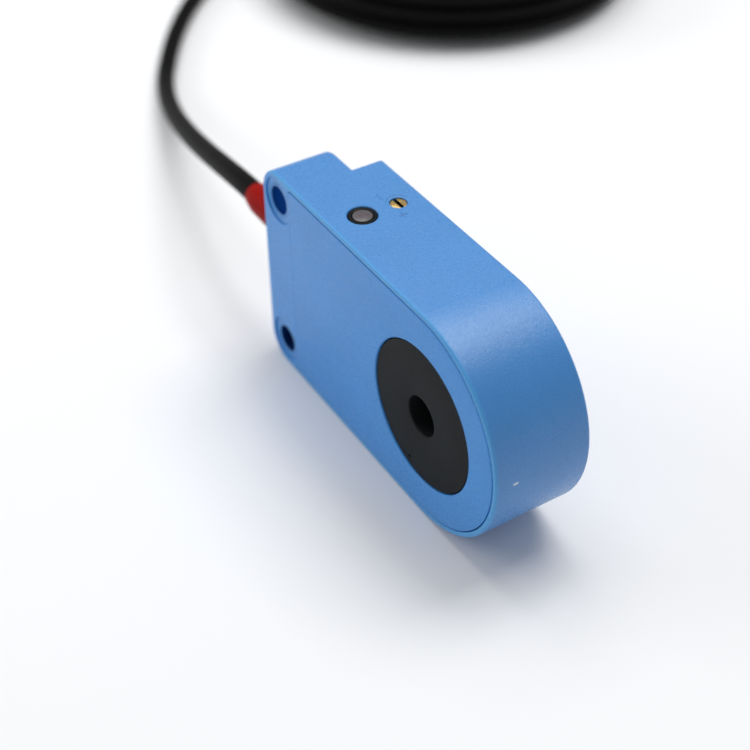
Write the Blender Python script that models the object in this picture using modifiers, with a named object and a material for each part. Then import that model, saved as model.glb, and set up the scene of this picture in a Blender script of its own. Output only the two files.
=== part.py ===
"""Ring-type inductive proximity sensor, modelled as separate pieces.

Lengths are in millimetres and become metres where a mesh is made. The origin is the middle of the
ear's rear mounting face, between the two fixing holes. +X runs from the cable end to the ring,
+Y from the front cover to the back, and +Z up to the face that holds the LED and the adjusting screw.
"""

import math

import bmesh
import bpy
from mathutils import Matrix, Vector

MM = 0.001

# Housing
HEIGHT = 35.0
END_RADIUS = HEIGHT / 2
END_FACE_X = -4.5
RING_X = 38.0
FRONT_Y = -10.0
BACK_Y = 5.0
EAR_BACK_Y = 0.0
EAR_STEP_X = 4.5
CORNER_RADIUS = 4.5
EDGE_ROUND = 0.4
WALL = 1.7
INNER_FLOOR_Y = BACK_Y - 1.6
CAVITY_LEFT_X = 6.2
CAVITY_CORNER = 1.5
TOP_Z = HEIGHT / 2
INNER_TOP_Z = TOP_Z - WALL

# Fixing holes in the ear
FIXING_HOLE_SPACING = 26.0
FIXING_HOLE_RADIUS = 2.15
FIXING_RECESS_RADIUS = 3.6
FIXING_RECESS_DEPTH = 0.3

# Front cover, set in a recess with a fine gap round it
RIM = 0.8
COVER_GAP = 0.2
COVER_LEFT_X = 3.1
COVER_CORNER = 0.8
COVER_FRONT_Y = FRONT_Y + 0.1
COVER_THICKNESS = 1.2
COVER_SEAT_Y = COVER_FRONT_Y + COVER_THICKNESS + 0.1

# Ring bush and the coil stack on it, all on the ring's axis
BORE_RADIUS = 3.0
BUSH_TUBE_RADIUS = 4.5
BUSH_FLANGE_RADIUS = 11.2
BUSH_FRONT_Y = FRONT_Y + 0.2
BUSH_FLANGE_THICKNESS = 1.6
BUSH_BACK_Y = BACK_Y - 0.1
FIT_GAP = 0.3
BOBBIN_FRONT_Y = -7.3
BOBBIN_BACK_Y = INNER_FLOOR_Y - FIT_GAP
BOBBIN_BORE_RADIUS = BUSH_TUBE_RADIUS + FIT_GAP
BOBBIN_HUB_RADIUS = 5.6
BOBBIN_FLANGE_RADIUS = 9.5
BOBBIN_FLANGE = 0.8
LEAD_NOTCH_WIDTH = 2.4
LEAD_NOTCH_INNER_RADIUS = 7.0
FERRITE_INNER_RADIUS = BOBBIN_FLANGE_RADIUS + FIT_GAP
FERRITE_OUTER_RADIUS = 12.0
COIL_WIRE_RADIUS = 0.2

# Circuit board, on edge behind the cover
BOARD_FRONT_Y = -2.7
BOARD_THICKNESS = 1.0
BOARD_BACK_Y = BOARD_FRONT_Y + BOARD_THICKNESS
BOARD_LEFT_X = 7.0
BOARD_RIGHT_X = 30.0
BOARD_HALF_HEIGHT = 13.0
BOARD_RING_CLEARANCE = 0.6
PART_LIFT = 0.1
LEG_REACH = 0.9
LEG_WIDTH = 0.45
LEG_THICKNESS = 0.2
DIODE_RADIUS = 0.75
DIODE_LIFT = 0.15
DIODE_ENDS_X = (8.6, 12.0)

# Flat packages on the board: (x, z) of the middle, then width, height and thickness, then legs a side
FLAT_PARTS = {
    "oscillator_ic": ((18.5, 0.0), (3.9, 4.9, 1.5), "chip_black", 4),
    "comparator_ic": ((18.5, -8.0), (3.9, 4.9, 1.5), "chip_black", 4),
    "output_transistor": ((11.0, -9.5), (2.5, 4.4, 1.5), "chip_black", 3),
    "tank_capacitor": ((23.5, 8.0), (2.5, 3.2, 1.6), "capacitor_tan", 0),
    "supply_capacitor": ((11.2, -3.5), (3.2, 5.0, 2.4), "tantalum_yellow", 0),
}
RESISTOR_SIZE = (2.0, 1.25, 0.55)
RESISTOR_PLACES = ((23.4, -6.0), (23.4, -8.5), (14.6, -1.0), (14.6, -4.0))
DIODE_HEIGHTS = {"reverse_diode": 9.8, "surge_diode": 7.6}

# Indicator and adjuster, side by side in the top face
TOP_FITTINGS_X = 15.25
LED_Y = -4.8
LED_BASE_Z = 9.8
LED_DOME_Z = 13.2
LED_RADIUS = 1.45
LED_RIM_RADIUS = 1.75
LED_RIM_HEIGHT = 0.8
LED_LEAD_RADIUS = 0.22
LED_LEAD_OFFSET = 0.65
BEZEL_RADIUS = 2.08
BEZEL_INNER_RADIUS = 1.5
BEZEL_FLANGE_RADIUS = 2.8
LENS_RADIUS = 1.4
LENS_PROUD = 0.05
LENS_RISE = 0.12
SCREW_Y = 1.05
SCREW_RADIUS = 1.3
SCREW_TOP_Z = TOP_Z - 0.2
SCREW_SLOT_WIDTH = 0.6
SCREW_SLOT_DEPTH = 0.8
SCREW_SHANK_RADIUS = 0.8
SCREW_HEAD_LENGTH = 2.55
BLADE_TOP_Z = 11.6
BLADE_TIP_Z = 10.3
BLADE_THICKNESS = 0.4
BLADE_WIDTH = 2.0
SEAL_RING_RADIUS = 0.45
SEAL_MID_RADIUS = 1.4
SEAL_Z = 14.0
BOSS_RADIUS = 2.6
BOSS_BOTTOM_Z = 13.0
ROTOR_RADIUS = 1.5
ROTOR_TOP_Z = 11.2
ROTOR_BOTTOM_Z = 8.8
ROTOR_SLOT_WIDTH = 0.9
TRIMMER_HALF_WIDTH = 2.3
TRIMMER_TOP_Z = 10.5
TRIMMER_BOTTOM_Z = 6.5

# Cable, its strain relief and its path to a loose coil
CABLE_RADIUS = 1.75
CABLE_Y = -5.0
CABLE_Z = 2.65
CABLE_INNER_END_X = 3.2
GLAND_BORE_RADIUS = 1.85
GLAND_NECK_RADIUS = 2.6
GLAND_HOLE_RADIUS = 2.8
GLAND_COLLAR_RADIUS = 3.6
GLAND_COLLAR_THICKNESS = 1.5
GLAND_FLANGE_RADIUS = 3.6
GLAND_SLEEVE_RADIUS = 2.45
GLAND_NOSE_X = -15.0
GLAND_TIP_RADIUS = 2.0
GLAND_TIP_X = -17.3
GLAND_FLANGE_THICKNESS = 1.4
CLIP_RADIUS = 3.2
CLIP_ENDS_X = (0.0, 2.0)
CHANNEL_HALF = 4.0
END_WALL = 1.6
FLOOR_CABLE_Z = -HEIGHT / 2 + CABLE_RADIUS + 0.05
TOUCHDOWN = (-92.1, 12.9, FLOOR_CABLE_Z)
TOUCHDOWN_HEADING = math.radians(29.8)
EXIT_HANDLE = 11.9
TOUCHDOWN_HANDLE_IN = 21.6
TOUCHDOWN_HANDLE_OUT = 32.2
COIL_HANDLE = 34.8
LIFTED_STEPS = 26
FLOOR_STEPS = 18
COIL_CENTRE = (-105.5, 91.6)
COIL_RADIUS = 40.85
COIL_START_DEG = 195.5
COIL_PITCH = 3.8
TURNS_PER_COLUMN = 3
STEPS_PER_TURN = 30
CROSSOVER_STEPS = 4
FREE_END_ARC_RADIUS = 14.0
FREE_END_SWEEP_DEG = 204.0
FREE_END_LEVEL_DEG = 60.0
WIRE_RADIUS = 0.45
WIRE_LAY_RADIUS = 0.75
WIRE_SPREAD = 2.6
TAIL_LENGTH = 12.0
TAIL_BEND_LENGTH = 3.0
TAIL_SPACING = 1.05
TAIL_BEND_SPREAD = 0.6
TAIL_TIP_SPREAD = 2.2
TINNED_RADIUS = 0.3
TINNED_LENGTH = 5.0

ROUND_STEPS = 32
END_ARC_STEPS = 40

COLLECTION_NAME = "ring_proximity_sensor"

# name: (colour, roughness, metallic)
MATERIALS = {
    "blue_plastic": ((0.072, 0.250, 0.580, 1), 0.42, 0.0),
    "black_plastic": ((0.020, 0.021, 0.023, 1), 0.55, 0.0),
    "cable_black": ((0.018, 0.018, 0.018, 1), 0.60, 0.0),
    "red_rubber": ((0.520, 0.020, 0.018, 1), 0.50, 0.0),
    "smoked_lens": ((0.230, 0.190, 0.230, 1), 0.20, 0.0),
    "brass": ((0.720, 0.470, 0.150, 1), 0.30, 1.0),
    "copper": ((0.620, 0.250, 0.110, 1), 0.35, 1.0),
    "tin": ((0.650, 0.650, 0.640, 1), 0.35, 1.0),
    "ferrite": ((0.045, 0.045, 0.050, 1), 0.50, 0.0),
    "nylon": ((0.650, 0.620, 0.540, 1), 0.50, 0.0),
    "board_green": ((0.020, 0.180, 0.070, 1), 0.40, 0.0),
    "chip_black": ((0.015, 0.015, 0.016, 1), 0.45, 0.0),
    "capacitor_tan": ((0.520, 0.330, 0.150, 1), 0.50, 0.0),
    "tantalum_yellow": ((0.720, 0.420, 0.050, 1), 0.45, 0.0),
    "diode_glass": ((0.550, 0.200, 0.060, 1), 0.20, 0.0),
    "trimmer_blue": ((0.020, 0.120, 0.420, 1), 0.40, 0.0),
    "led_epoxy": ((0.850, 0.500, 0.060, 1), 0.15, 0.0),
    "seal_rubber": ((0.030, 0.030, 0.030, 1), 0.70, 0.0),
    "brown_pvc": ((0.140, 0.055, 0.025, 1), 0.45, 0.0),
    "blue_pvc": ((0.020, 0.090, 0.450, 1), 0.45, 0.0),
    "black_pvc": ((0.015, 0.015, 0.015, 1), 0.45, 0.0),
}

ALONG_X = Matrix.Rotation(math.radians(90), 4, "Y")
ALONG_Y = Matrix.Rotation(math.radians(-90), 4, "X")
ALONG_Z = Matrix.Identity(4)
OUTLINE_TO_XZ = Matrix.Rotation(math.radians(90), 4, "X")


def clear_scene():
    for obj in list(bpy.data.objects):
        bpy.data.objects.remove(obj, do_unlink=True)


def new_collection(name):
    collection = bpy.data.collections.new(name)
    bpy.context.scene.collection.children.link(collection)
    return collection


def new_material(name):
    colour, roughness, metallic = MATERIALS[name]
    material = bpy.data.materials.new(name)
    material.use_nodes = True
    shader = material.node_tree.nodes["Principled BSDF"]
    shader.inputs["Base Color"].default_value = colour
    shader.inputs["Roughness"].default_value = roughness
    shader.inputs["Metallic"].default_value = metallic
    material.diffuse_color = colour
    return material


clear_scene()
PARTS = new_collection(COLLECTION_NAME)
CUTTERS = new_collection("cutters")
MATERIAL = {name: new_material(name) for name in MATERIALS}


def place(name, data, material, centre=(0, 0, 0), turn=ALONG_Z):
    """Links new object data at a centre in millimetres. A piece with no material is a cutter."""
    obj = bpy.data.objects.new(name, data)
    obj.matrix_world = Matrix.Translation(Vector(centre) * MM) @ turn
    if material is None:
        obj.hide_render = True
        obj.display_type = "WIRE"
        CUTTERS.objects.link(obj)
    else:
        data.materials.append(MATERIAL[material])
        PARTS.objects.link(obj)
    return obj


def box(name, low, high, material=None, edge=0.0):
    """A box between two corners, with its edges rounded when edge is given."""
    low, high = Vector(low), Vector(high)
    shape = bmesh.new()
    bmesh.ops.create_cube(shape, size=MM)
    bmesh.ops.scale(shape, vec=high - low, verts=shape.verts)
    mesh = bpy.data.meshes.new(name)
    shape.to_mesh(mesh)
    shape.free()
    obj = place(name, mesh, material, (low + high) / 2)
    if edge:
        rounding = obj.modifiers.new("rounded edges", "BEVEL")
        rounding.width = edge * MM
        rounding.segments = 2
    return obj


def turned(name, profile, material=None, centre=(0, 0, 0), turn=ALONG_Z, steps=ROUND_STEPS):
    """A turned shape. The profile is (radius, height) points down the outer side, then up the bore."""
    mesh = bpy.data.meshes.new(name)
    points = [(radius * MM, 0, height * MM) for radius, height in profile]
    edges = [(i, i + 1) for i in range(len(points) - 1)]
    if min(radius for radius, _ in profile) > 0:
        edges.append((len(points) - 1, 0))
    mesh.from_pydata(points, edges, [])
    obj = place(name, mesh, material, centre, turn)
    screw = obj.modifiers.new("turn", "SCREW")
    screw.steps = steps
    screw.render_steps = steps
    screw.use_merge_vertices = True
    screw.merge_threshold = 0.00001
    return obj


def rod(name, radius, start, end, material=None, turn=ALONG_Z, steps=ROUND_STEPS):
    """A plain cylinder between two points on a line along an axis."""
    length = (Vector(end) - Vector(start)).length
    half = length / 2
    middle = (Vector(start) + Vector(end)) / 2
    profile = [(0, half), (radius, half), (radius, -half), (0, -half)]
    return turned(name, profile, material, middle, turn, steps)


def tube(name, bore, outer, low, high, material, centre, turn, steps=ROUND_STEPS):
    """A plain ring between two heights along its own axis."""
    profile = [(outer, high), (outer, low), (bore, low), (bore, high)]
    return turned(name, profile, material, centre, turn, steps)


def as_mesh(obj):
    """The same object as a mesh, with a curve's loose caps welded on."""
    bpy.context.view_layer.update()
    evaluated = obj.evaluated_get(bpy.context.evaluated_depsgraph_get())
    mesh = bpy.data.meshes.new_from_object(evaluated)
    shape = bmesh.new()
    shape.from_mesh(mesh)
    bmesh.ops.remove_doubles(shape, verts=shape.verts, dist=0.000001)
    shape.to_mesh(mesh)
    shape.free()
    solid = bpy.data.objects.new(obj.name, mesh)
    solid.matrix_world = obj.matrix_world.copy()
    solid.hide_render = obj.hide_render
    solid.display_type = obj.display_type
    obj.users_collection[0].objects.link(solid)
    name = obj.name
    bpy.data.objects.remove(obj, do_unlink=True)
    solid.name = name
    return solid


def plate(name, outline, low_y, high_y, material=None):
    """A flat outline in X and Z, as thick as its two Y values are apart."""
    curve = bpy.data.curves.new(name, "CURVE")
    curve.dimensions = "2D"
    curve.fill_mode = "BOTH"
    curve.extrude = (high_y - low_y) / 2 * MM
    spline = curve.splines.new("POLY")
    spline.points.add(len(outline) - 1)
    for point, (x, z) in zip(spline.points, outline):
        point.co = (x * MM, z * MM, 0, 1)
    spline.use_cyclic_u = True
    return as_mesh(place(name, curve, material, (0, (low_y + high_y) / 2, 0), OUTLINE_TO_XZ))


def wire(name, points, radius, material):
    """A round wire through points in millimetres."""
    curve = bpy.data.curves.new(name, "CURVE")
    curve.dimensions = "3D"
    curve.bevel_depth = radius * MM
    curve.bevel_resolution = 2
    curve.use_fill_caps = True
    spline = curve.splines.new("POLY")
    spline.points.add(len(points) - 1)
    for point, position in zip(spline.points, points):
        point.co = (*(Vector(position) * MM), 1)
    return place(name, curve, material)


def combine(obj, other, operation="DIFFERENCE"):
    modifier = obj.modifiers.new(f"{operation.lower()} {other.name}", "BOOLEAN")
    modifier.operation = operation
    modifier.object = other


def arc(centre, radius, start_deg, end_deg, steps):
    """Points round an arc, both ends included."""
    angles = [math.radians(start_deg + (end_deg - start_deg) * i / steps) for i in range(steps + 1)]
    return [(centre[0] + radius * math.cos(a), centre[1] + radius * math.sin(a)) for a in angles]


def stadium(left_x, inset, corner):
    """The housing's outline drawn in by an inset: a half round at the ring, a square end at left_x."""
    radius = END_RADIUS - inset
    return (
        arc((RING_X, 0), radius, -90, 90, END_ARC_STEPS)
        + arc((left_x + corner, radius - corner), corner, 90, 180, 8)
        + arc((left_x + corner, corner - radius), corner, 180, 270, 8)
    )


def bezier(start, first_handle, second_handle, end, steps):
    """Points along a cubic curve, without its last point."""
    points = []
    for i in range(steps):
        t = i / steps
        points.append(
            Vector(start) * (1 - t) ** 3
            + Vector(first_handle) * 3 * (1 - t) ** 2 * t
            + Vector(second_handle) * 3 * (1 - t) * t**2
            + Vector(end) * t**3
        )
    return points


def make_housing():
    housing = plate("housing", stadium(END_FACE_X, 0, CORNER_RADIUS), FRONT_Y, BACK_Y, "blue_plastic")
    rounding = housing.modifiers.new("rounded edges", "BEVEL")
    rounding.width = EDGE_ROUND * MM
    rounding.segments = 2
    rounding.limit_method = "ANGLE"
    rounding.angle_limit = math.radians(60)

    ear_step = box("ear_step", (END_FACE_X - 1, EAR_BACK_Y, -HEIGHT), (EAR_STEP_X, BACK_Y + 1, HEIGHT))
    cavity = plate("cavity", stadium(CAVITY_LEFT_X, WALL, CAVITY_CORNER), FRONT_Y - 1, INNER_FLOOR_Y)
    seat = plate("cover_seat", stadium(COVER_LEFT_X, RIM, COVER_CORNER), FRONT_Y - 1, COVER_SEAT_Y)
    channel_low = (END_FACE_X + END_WALL, CABLE_Y - CHANNEL_HALF, CABLE_Z - CHANNEL_HALF)
    channel_high = (CAVITY_LEFT_X + 1, CABLE_Y + CHANNEL_HALF, CABLE_Z + CHANNEL_HALF)
    channel = box("cable_channel", channel_low, channel_high)
    cut_fixing_recesses(housing)
    for cutter in (ear_step, cavity, seat, channel):
        combine(housing, cutter)

    boss_top = (TOP_FITTINGS_X, SCREW_Y, INNER_TOP_Z + 0.5)
    boss_bottom = (TOP_FITTINGS_X, SCREW_Y, BOSS_BOTTOM_Z)
    combine(housing, rod("screw_boss", BOSS_RADIUS, boss_bottom, boss_top), "UNION")

    round_holes = [
        ("bush_hole", BUSH_TUBE_RADIUS + COVER_GAP, (RING_X, 0, 0), (RING_X, BACK_Y + 1, 0), ALONG_Y),
        (
            "gland_hole",
            GLAND_HOLE_RADIUS,
            (END_FACE_X - 1, CABLE_Y, CABLE_Z),
            (END_FACE_X + END_WALL + 1, CABLE_Y, CABLE_Z),
            ALONG_X,
        ),
        (
            "bezel_hole",
            BEZEL_RADIUS + 0.1,
            (TOP_FITTINGS_X, LED_Y, INNER_TOP_Z - 1),
            (TOP_FITTINGS_X, LED_Y, TOP_Z + 1),
            ALONG_Z,
        ),
        (
            "screw_hole",
            SCREW_RADIUS + 0.1,
            (TOP_FITTINGS_X, SCREW_Y, INNER_TOP_Z - 1),
            (TOP_FITTINGS_X, SCREW_Y, TOP_Z + 1),
            ALONG_Z,
        ),
        (
            "seal_pocket",
            SEAL_MID_RADIUS + SEAL_RING_RADIUS + 0.1,
            (TOP_FITTINGS_X, SCREW_Y, BOSS_BOTTOM_Z - 1),
            (TOP_FITTINGS_X, SCREW_Y, INNER_TOP_Z - 0.9),
            ALONG_Z,
        ),
    ]
    for side in (-1, 1):
        z = side * FIXING_HOLE_SPACING / 2
        top = "upper" if side > 0 else "lower"
        through = ((0, FRONT_Y - 1, z), (0, EAR_BACK_Y + 1, z))
        round_holes.append((f"{top}_fixing_hole", FIXING_HOLE_RADIUS, *through, ALONG_Y))
    for name, radius, start, end, turn in round_holes:
        combine(housing, rod(name, radius, start, end, turn=turn))


def cut_fixing_recesses(obj):
    """Sinks the shallow seats for the fixing screws' heads, which reach just onto the cover."""
    for side in (-1, 1):
        z = side * FIXING_HOLE_SPACING / 2
        recess_ends = (0, FRONT_Y - 1, z), (0, FRONT_Y + FIXING_RECESS_DEPTH, z)
        combine(obj, rod("fixing_recess", FIXING_RECESS_RADIUS, *recess_ends, turn=ALONG_Y))


def make_cover():
    outline = stadium(COVER_LEFT_X + COVER_GAP, RIM + COVER_GAP, COVER_CORNER)
    cover = plate("front_cover", outline, COVER_FRONT_Y, COVER_FRONT_Y + COVER_THICKNESS, "blue_plastic")
    opening_ends = (RING_X, FRONT_Y - 1, 0), (RING_X, COVER_SEAT_Y + 1, 0)
    combine(cover, rod("cover_opening", BUSH_FLANGE_RADIUS + 0.15, *opening_ends, turn=ALONG_Y, steps=64))
    cut_fixing_recesses(cover)


def make_ring_bush():
    flange_back = BUSH_FRONT_Y + BUSH_FLANGE_THICKNESS
    profile = [
        (BORE_RADIUS, BUSH_BACK_Y),
        (BUSH_TUBE_RADIUS, BUSH_BACK_Y),
        (BUSH_TUBE_RADIUS, flange_back),
        (BUSH_FLANGE_RADIUS, flange_back),
        (BUSH_FLANGE_RADIUS, BUSH_FRONT_Y),
        (BORE_RADIUS, BUSH_FRONT_Y),
    ]
    turned("ring_bush", profile, "black_plastic", (RING_X, 0, 0), ALONG_Y, 64)


def make_coil():
    """Bobbin, winding and ferrite sleeve, one inside the other round the bush."""
    centre = (RING_X, 0, 0)
    inner_front = BOBBIN_FRONT_Y + BOBBIN_FLANGE
    inner_back = BOBBIN_BACK_Y - BOBBIN_FLANGE
    profile = [
        (BOBBIN_FLANGE_RADIUS, BOBBIN_BACK_Y),
        (BOBBIN_FLANGE_RADIUS, inner_back),
        (BOBBIN_HUB_RADIUS, inner_back),
        (BOBBIN_HUB_RADIUS, inner_front),
        (BOBBIN_FLANGE_RADIUS, inner_front),
        (BOBBIN_FLANGE_RADIUS, BOBBIN_FRONT_Y),
        (BOBBIN_BORE_RADIUS, BOBBIN_FRONT_Y),
        (BOBBIN_BORE_RADIUS, BOBBIN_BACK_Y),
    ]
    bobbin = turned("coil_bobbin", profile, "nylon", centre, ALONG_Y)
    notch_low = (RING_X - BOBBIN_FLANGE_RADIUS - 1, BOBBIN_FRONT_Y - 1, -LEAD_NOTCH_WIDTH / 2)
    notch_high = (RING_X - LEAD_NOTCH_INNER_RADIUS, inner_front + 0.1, LEAD_NOTCH_WIDTH / 2)
    combine(bobbin, box("lead_notch", notch_low, notch_high))

    winding_ends = inner_front + FIT_GAP, inner_back - FIT_GAP
    hub_clear = BOBBIN_HUB_RADIUS + FIT_GAP
    winding_radius = BOBBIN_FLANGE_RADIUS - 0.6
    tube("coil_winding", hub_clear, winding_radius, *winding_ends, "copper", centre, ALONG_Y)
    ferrite_radii = FERRITE_INNER_RADIUS, FERRITE_OUTER_RADIUS
    tube("ferrite_ring", *ferrite_radii, BOBBIN_FRONT_Y, BOBBIN_BACK_Y, "ferrite", centre, ALONG_Y)

    over_ferrite_y = (BOBBIN_FRONT_Y + BUSH_FRONT_Y + BUSH_FLANGE_THICKNESS) / 2
    winding_x = RING_X - LEAD_NOTCH_INNER_RADIUS - 0.8
    board_edge_x = RING_X - FERRITE_OUTER_RADIUS - BOARD_RING_CLEARANCE
    for name, z in (("coil_lead_start", 0.6), ("coil_lead_end", -0.6)):
        route = [
            (winding_x, inner_front + 0.1, z),
            (winding_x, over_ferrite_y, z),
            (board_edge_x, over_ferrite_y, z),
            (board_edge_x - 2, BOARD_FRONT_Y - 2, z * 2),
            (board_edge_x - 2.4, BOARD_FRONT_Y - COIL_WIRE_RADIUS, z * 3),
        ]
        wire(name, route, COIL_WIRE_RADIUS, "copper")


def make_board():
    low = (BOARD_LEFT_X, BOARD_FRONT_Y, -BOARD_HALF_HEIGHT)
    high = (BOARD_RIGHT_X, BOARD_BACK_Y, BOARD_HALF_HEIGHT)
    board = box("circuit_board", low, high, "board_green")
    ring_clear = FERRITE_OUTER_RADIUS + BOARD_RING_CLEARANCE
    ring_ends = (RING_X, BOARD_FRONT_Y - 1, 0), (RING_X, BOARD_BACK_Y + 1, 0)
    combine(board, rod("board_ring_cutout", ring_clear, *ring_ends, turn=ALONG_Y))


def flat_part(name, place, size, material, legs=0):
    """A flat package on the board's front. Its legs are strips that run under it and out both sides."""
    x, z = place
    width, height, thickness = size
    seat_y = BOARD_FRONT_Y - PART_LIFT
    low = (x - width / 2, seat_y - thickness, z - height / 2)
    body = box(name, low, (x + width / 2, seat_y, z + height / 2), material, edge=0.12)
    for i in range(legs):
        leg_z = z + (i - (legs - 1) / 2) * height / legs
        leg_low = (x - width / 2 - LEG_REACH, seat_y - LEG_THICKNESS - 0.05, leg_z - LEG_WIDTH / 2)
        leg_high = (x + width / 2 + LEG_REACH, seat_y - 0.05, leg_z + LEG_WIDTH / 2)
        combine(body, box(f"{name}_leg_{i + 1}", leg_low, leg_high), "UNION")


def make_board_parts():
    for name, (place, size, material, legs) in FLAT_PARTS.items():
        flat_part(name, place, size, material, legs)
    for i, place in enumerate(RESISTOR_PLACES):
        flat_part(f"resistor_{i + 1}", place, RESISTOR_SIZE, "chip_black")
    diode_y = BOARD_FRONT_Y - DIODE_RADIUS - DIODE_LIFT
    left_x, right_x = DIODE_ENDS_X
    for name, z in DIODE_HEIGHTS.items():
        rod(name, DIODE_RADIUS, (left_x, diode_y, z), (right_x, diode_y, z), "diode_glass", ALONG_X, 16)


def make_indicator():
    """The LED on its two leads, and the bezel and lens that it shines through."""
    dome = [(radius, LED_DOME_Z + height) for radius, height in arc((0, 0), LED_RADIUS, 90, 0, 8)]
    dome[0] = (0, LED_DOME_Z + LED_RADIUS)
    rim_top = LED_BASE_Z + LED_RIM_HEIGHT
    profile = dome + [(LED_RADIUS, rim_top), (LED_RIM_RADIUS, rim_top)]
    profile += [(LED_RIM_RADIUS, LED_BASE_Z), (0, LED_BASE_Z)]
    centre = (TOP_FITTINGS_X, LED_Y, 0)
    turned("indicator_led", profile, "led_epoxy", centre)
    for name, side in (("led_lead_anode", -1), ("led_lead_cathode", 1)):
        x = TOP_FITTINGS_X + side * LED_LEAD_OFFSET
        route = [
            (x, LED_Y, LED_BASE_Z - 0.1),
            (x, LED_Y, LED_BASE_Z - 1.5),
            (x, BOARD_FRONT_Y - 0.3, LED_BASE_Z - 3.0),
        ]
        wire(name, route, LED_LEAD_RADIUS, "tin")

    bezel_top = TOP_Z - 0.05
    bezel_bottom = LED_DOME_Z + LED_RADIUS + FIT_GAP
    flange_top = INNER_TOP_Z - FIT_GAP
    profile = [
        (BEZEL_RADIUS, bezel_top),
        (BEZEL_RADIUS, flange_top),
        (BEZEL_FLANGE_RADIUS, flange_top),
        (BEZEL_FLANGE_RADIUS, bezel_bottom),
        (BEZEL_INNER_RADIUS, bezel_bottom),
        (BEZEL_INNER_RADIUS, bezel_top),
    ]
    turned("led_bezel", profile, "black_plastic", centre)
    lens_top = bezel_top + LENS_PROUD
    lens = [
        (0, lens_top),
        (LENS_RADIUS / 2, lens_top - LENS_RISE / 4),
        (LENS_RADIUS, lens_top - LENS_RISE),
        (LENS_RADIUS, bezel_bottom + 0.1),
        (0, bezel_bottom + 0.1),
    ]
    turned("led_lens", lens, "smoked_lens", centre)


def make_adjuster():
    """The slotted screw, its seal, and the trimmer on the board that its blade turns."""
    axis = (TOP_FITTINGS_X, SCREW_Y)
    head_bottom = SCREW_TOP_Z - SCREW_HEAD_LENGTH
    profile = [
        (0, SCREW_TOP_Z),
        (SCREW_RADIUS - 0.1, SCREW_TOP_Z),
        (SCREW_RADIUS, SCREW_TOP_Z - 0.1),
        (SCREW_RADIUS, head_bottom),
        (SCREW_SHANK_RADIUS, head_bottom),
        (SCREW_SHANK_RADIUS, BLADE_TOP_Z),
        (0, BLADE_TOP_Z),
    ]
    screw = turned("adjustment_screw", profile, "brass", (*axis, 0))
    slot_low = (axis[0] - 2, axis[1] - SCREW_SLOT_WIDTH / 2, SCREW_TOP_Z - SCREW_SLOT_DEPTH)
    slot_high = (axis[0] + 2, axis[1] + SCREW_SLOT_WIDTH / 2, SCREW_TOP_Z + 1)
    combine(screw, box("screw_slot", slot_low, slot_high))
    blade_low = (axis[0] - BLADE_WIDTH / 2, axis[1] - BLADE_THICKNESS / 2, BLADE_TIP_Z)
    blade_high = (axis[0] + BLADE_WIDTH / 2, axis[1] + BLADE_THICKNESS / 2, BLADE_TOP_Z + 0.5)
    combine(screw, box("screw_blade", blade_low, blade_high), "UNION")

    ring = [
        (SEAL_MID_RADIUS + x, SEAL_Z + z)
        for x, z in arc((0, 0), SEAL_RING_RADIUS, 90, -270, 12)[:-1]
    ]
    turned("screw_seal", ring, "seal_rubber", (*axis, 0))

    rotor = rod("trimmer_rotor", ROTOR_RADIUS, (*axis, ROTOR_BOTTOM_Z), (*axis, ROTOR_TOP_Z), "nylon")
    rotor_slot_low = (axis[0] - 2, axis[1] - ROTOR_SLOT_WIDTH / 2, BLADE_TIP_Z - FIT_GAP)
    rotor_slot_high = (axis[0] + 2, axis[1] + ROTOR_SLOT_WIDTH / 2, ROTOR_TOP_Z + 1)
    combine(rotor, box("rotor_slot", rotor_slot_low, rotor_slot_high))

    low = (axis[0] - TRIMMER_HALF_WIDTH, BOARD_BACK_Y + FIT_GAP, TRIMMER_BOTTOM_Z)
    high = (axis[0] + TRIMMER_HALF_WIDTH, INNER_FLOOR_Y - FIT_GAP, TRIMMER_TOP_Z)
    body = box("trimmer_body", low, high, "trimmer_blue", edge=0.15)
    well_ends = (*axis, ROTOR_BOTTOM_Z - FIT_GAP), (*axis, TRIMMER_TOP_Z + 1)
    combine(body, rod("rotor_well", ROTOR_RADIUS + FIT_GAP, *well_ends))


def make_gland():
    """Strain relief moulded round the cable: a flange inside the end wall, a collar and sleeve outside."""
    flange_back = END_FACE_X + END_WALL + 0.2
    collar_back = END_FACE_X - 0.1
    collar_end = collar_back - GLAND_COLLAR_THICKNESS
    profile = [
        (GLAND_FLANGE_RADIUS, flange_back + GLAND_FLANGE_THICKNESS),
        (GLAND_FLANGE_RADIUS, flange_back),
        (GLAND_NECK_RADIUS, flange_back),
        (GLAND_NECK_RADIUS, collar_back),
        (GLAND_COLLAR_RADIUS, collar_back),
        (GLAND_COLLAR_RADIUS, collar_end),
        (GLAND_SLEEVE_RADIUS, collar_end),
        (GLAND_SLEEVE_RADIUS, GLAND_NOSE_X),
        (GLAND_TIP_RADIUS, GLAND_TIP_X),
        (GLAND_BORE_RADIUS, GLAND_TIP_X),
        (GLAND_BORE_RADIUS, flange_back + GLAND_FLANGE_THICKNESS),
    ]
    centre = (0, CABLE_Y, CABLE_Z)
    turned("cable_gland", profile, "red_rubber", centre, ALONG_X)
    tube("cable_clip", GLAND_BORE_RADIUS, CLIP_RADIUS, *CLIP_ENDS_X, "nylon", centre, ALONG_X, 24)


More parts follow.
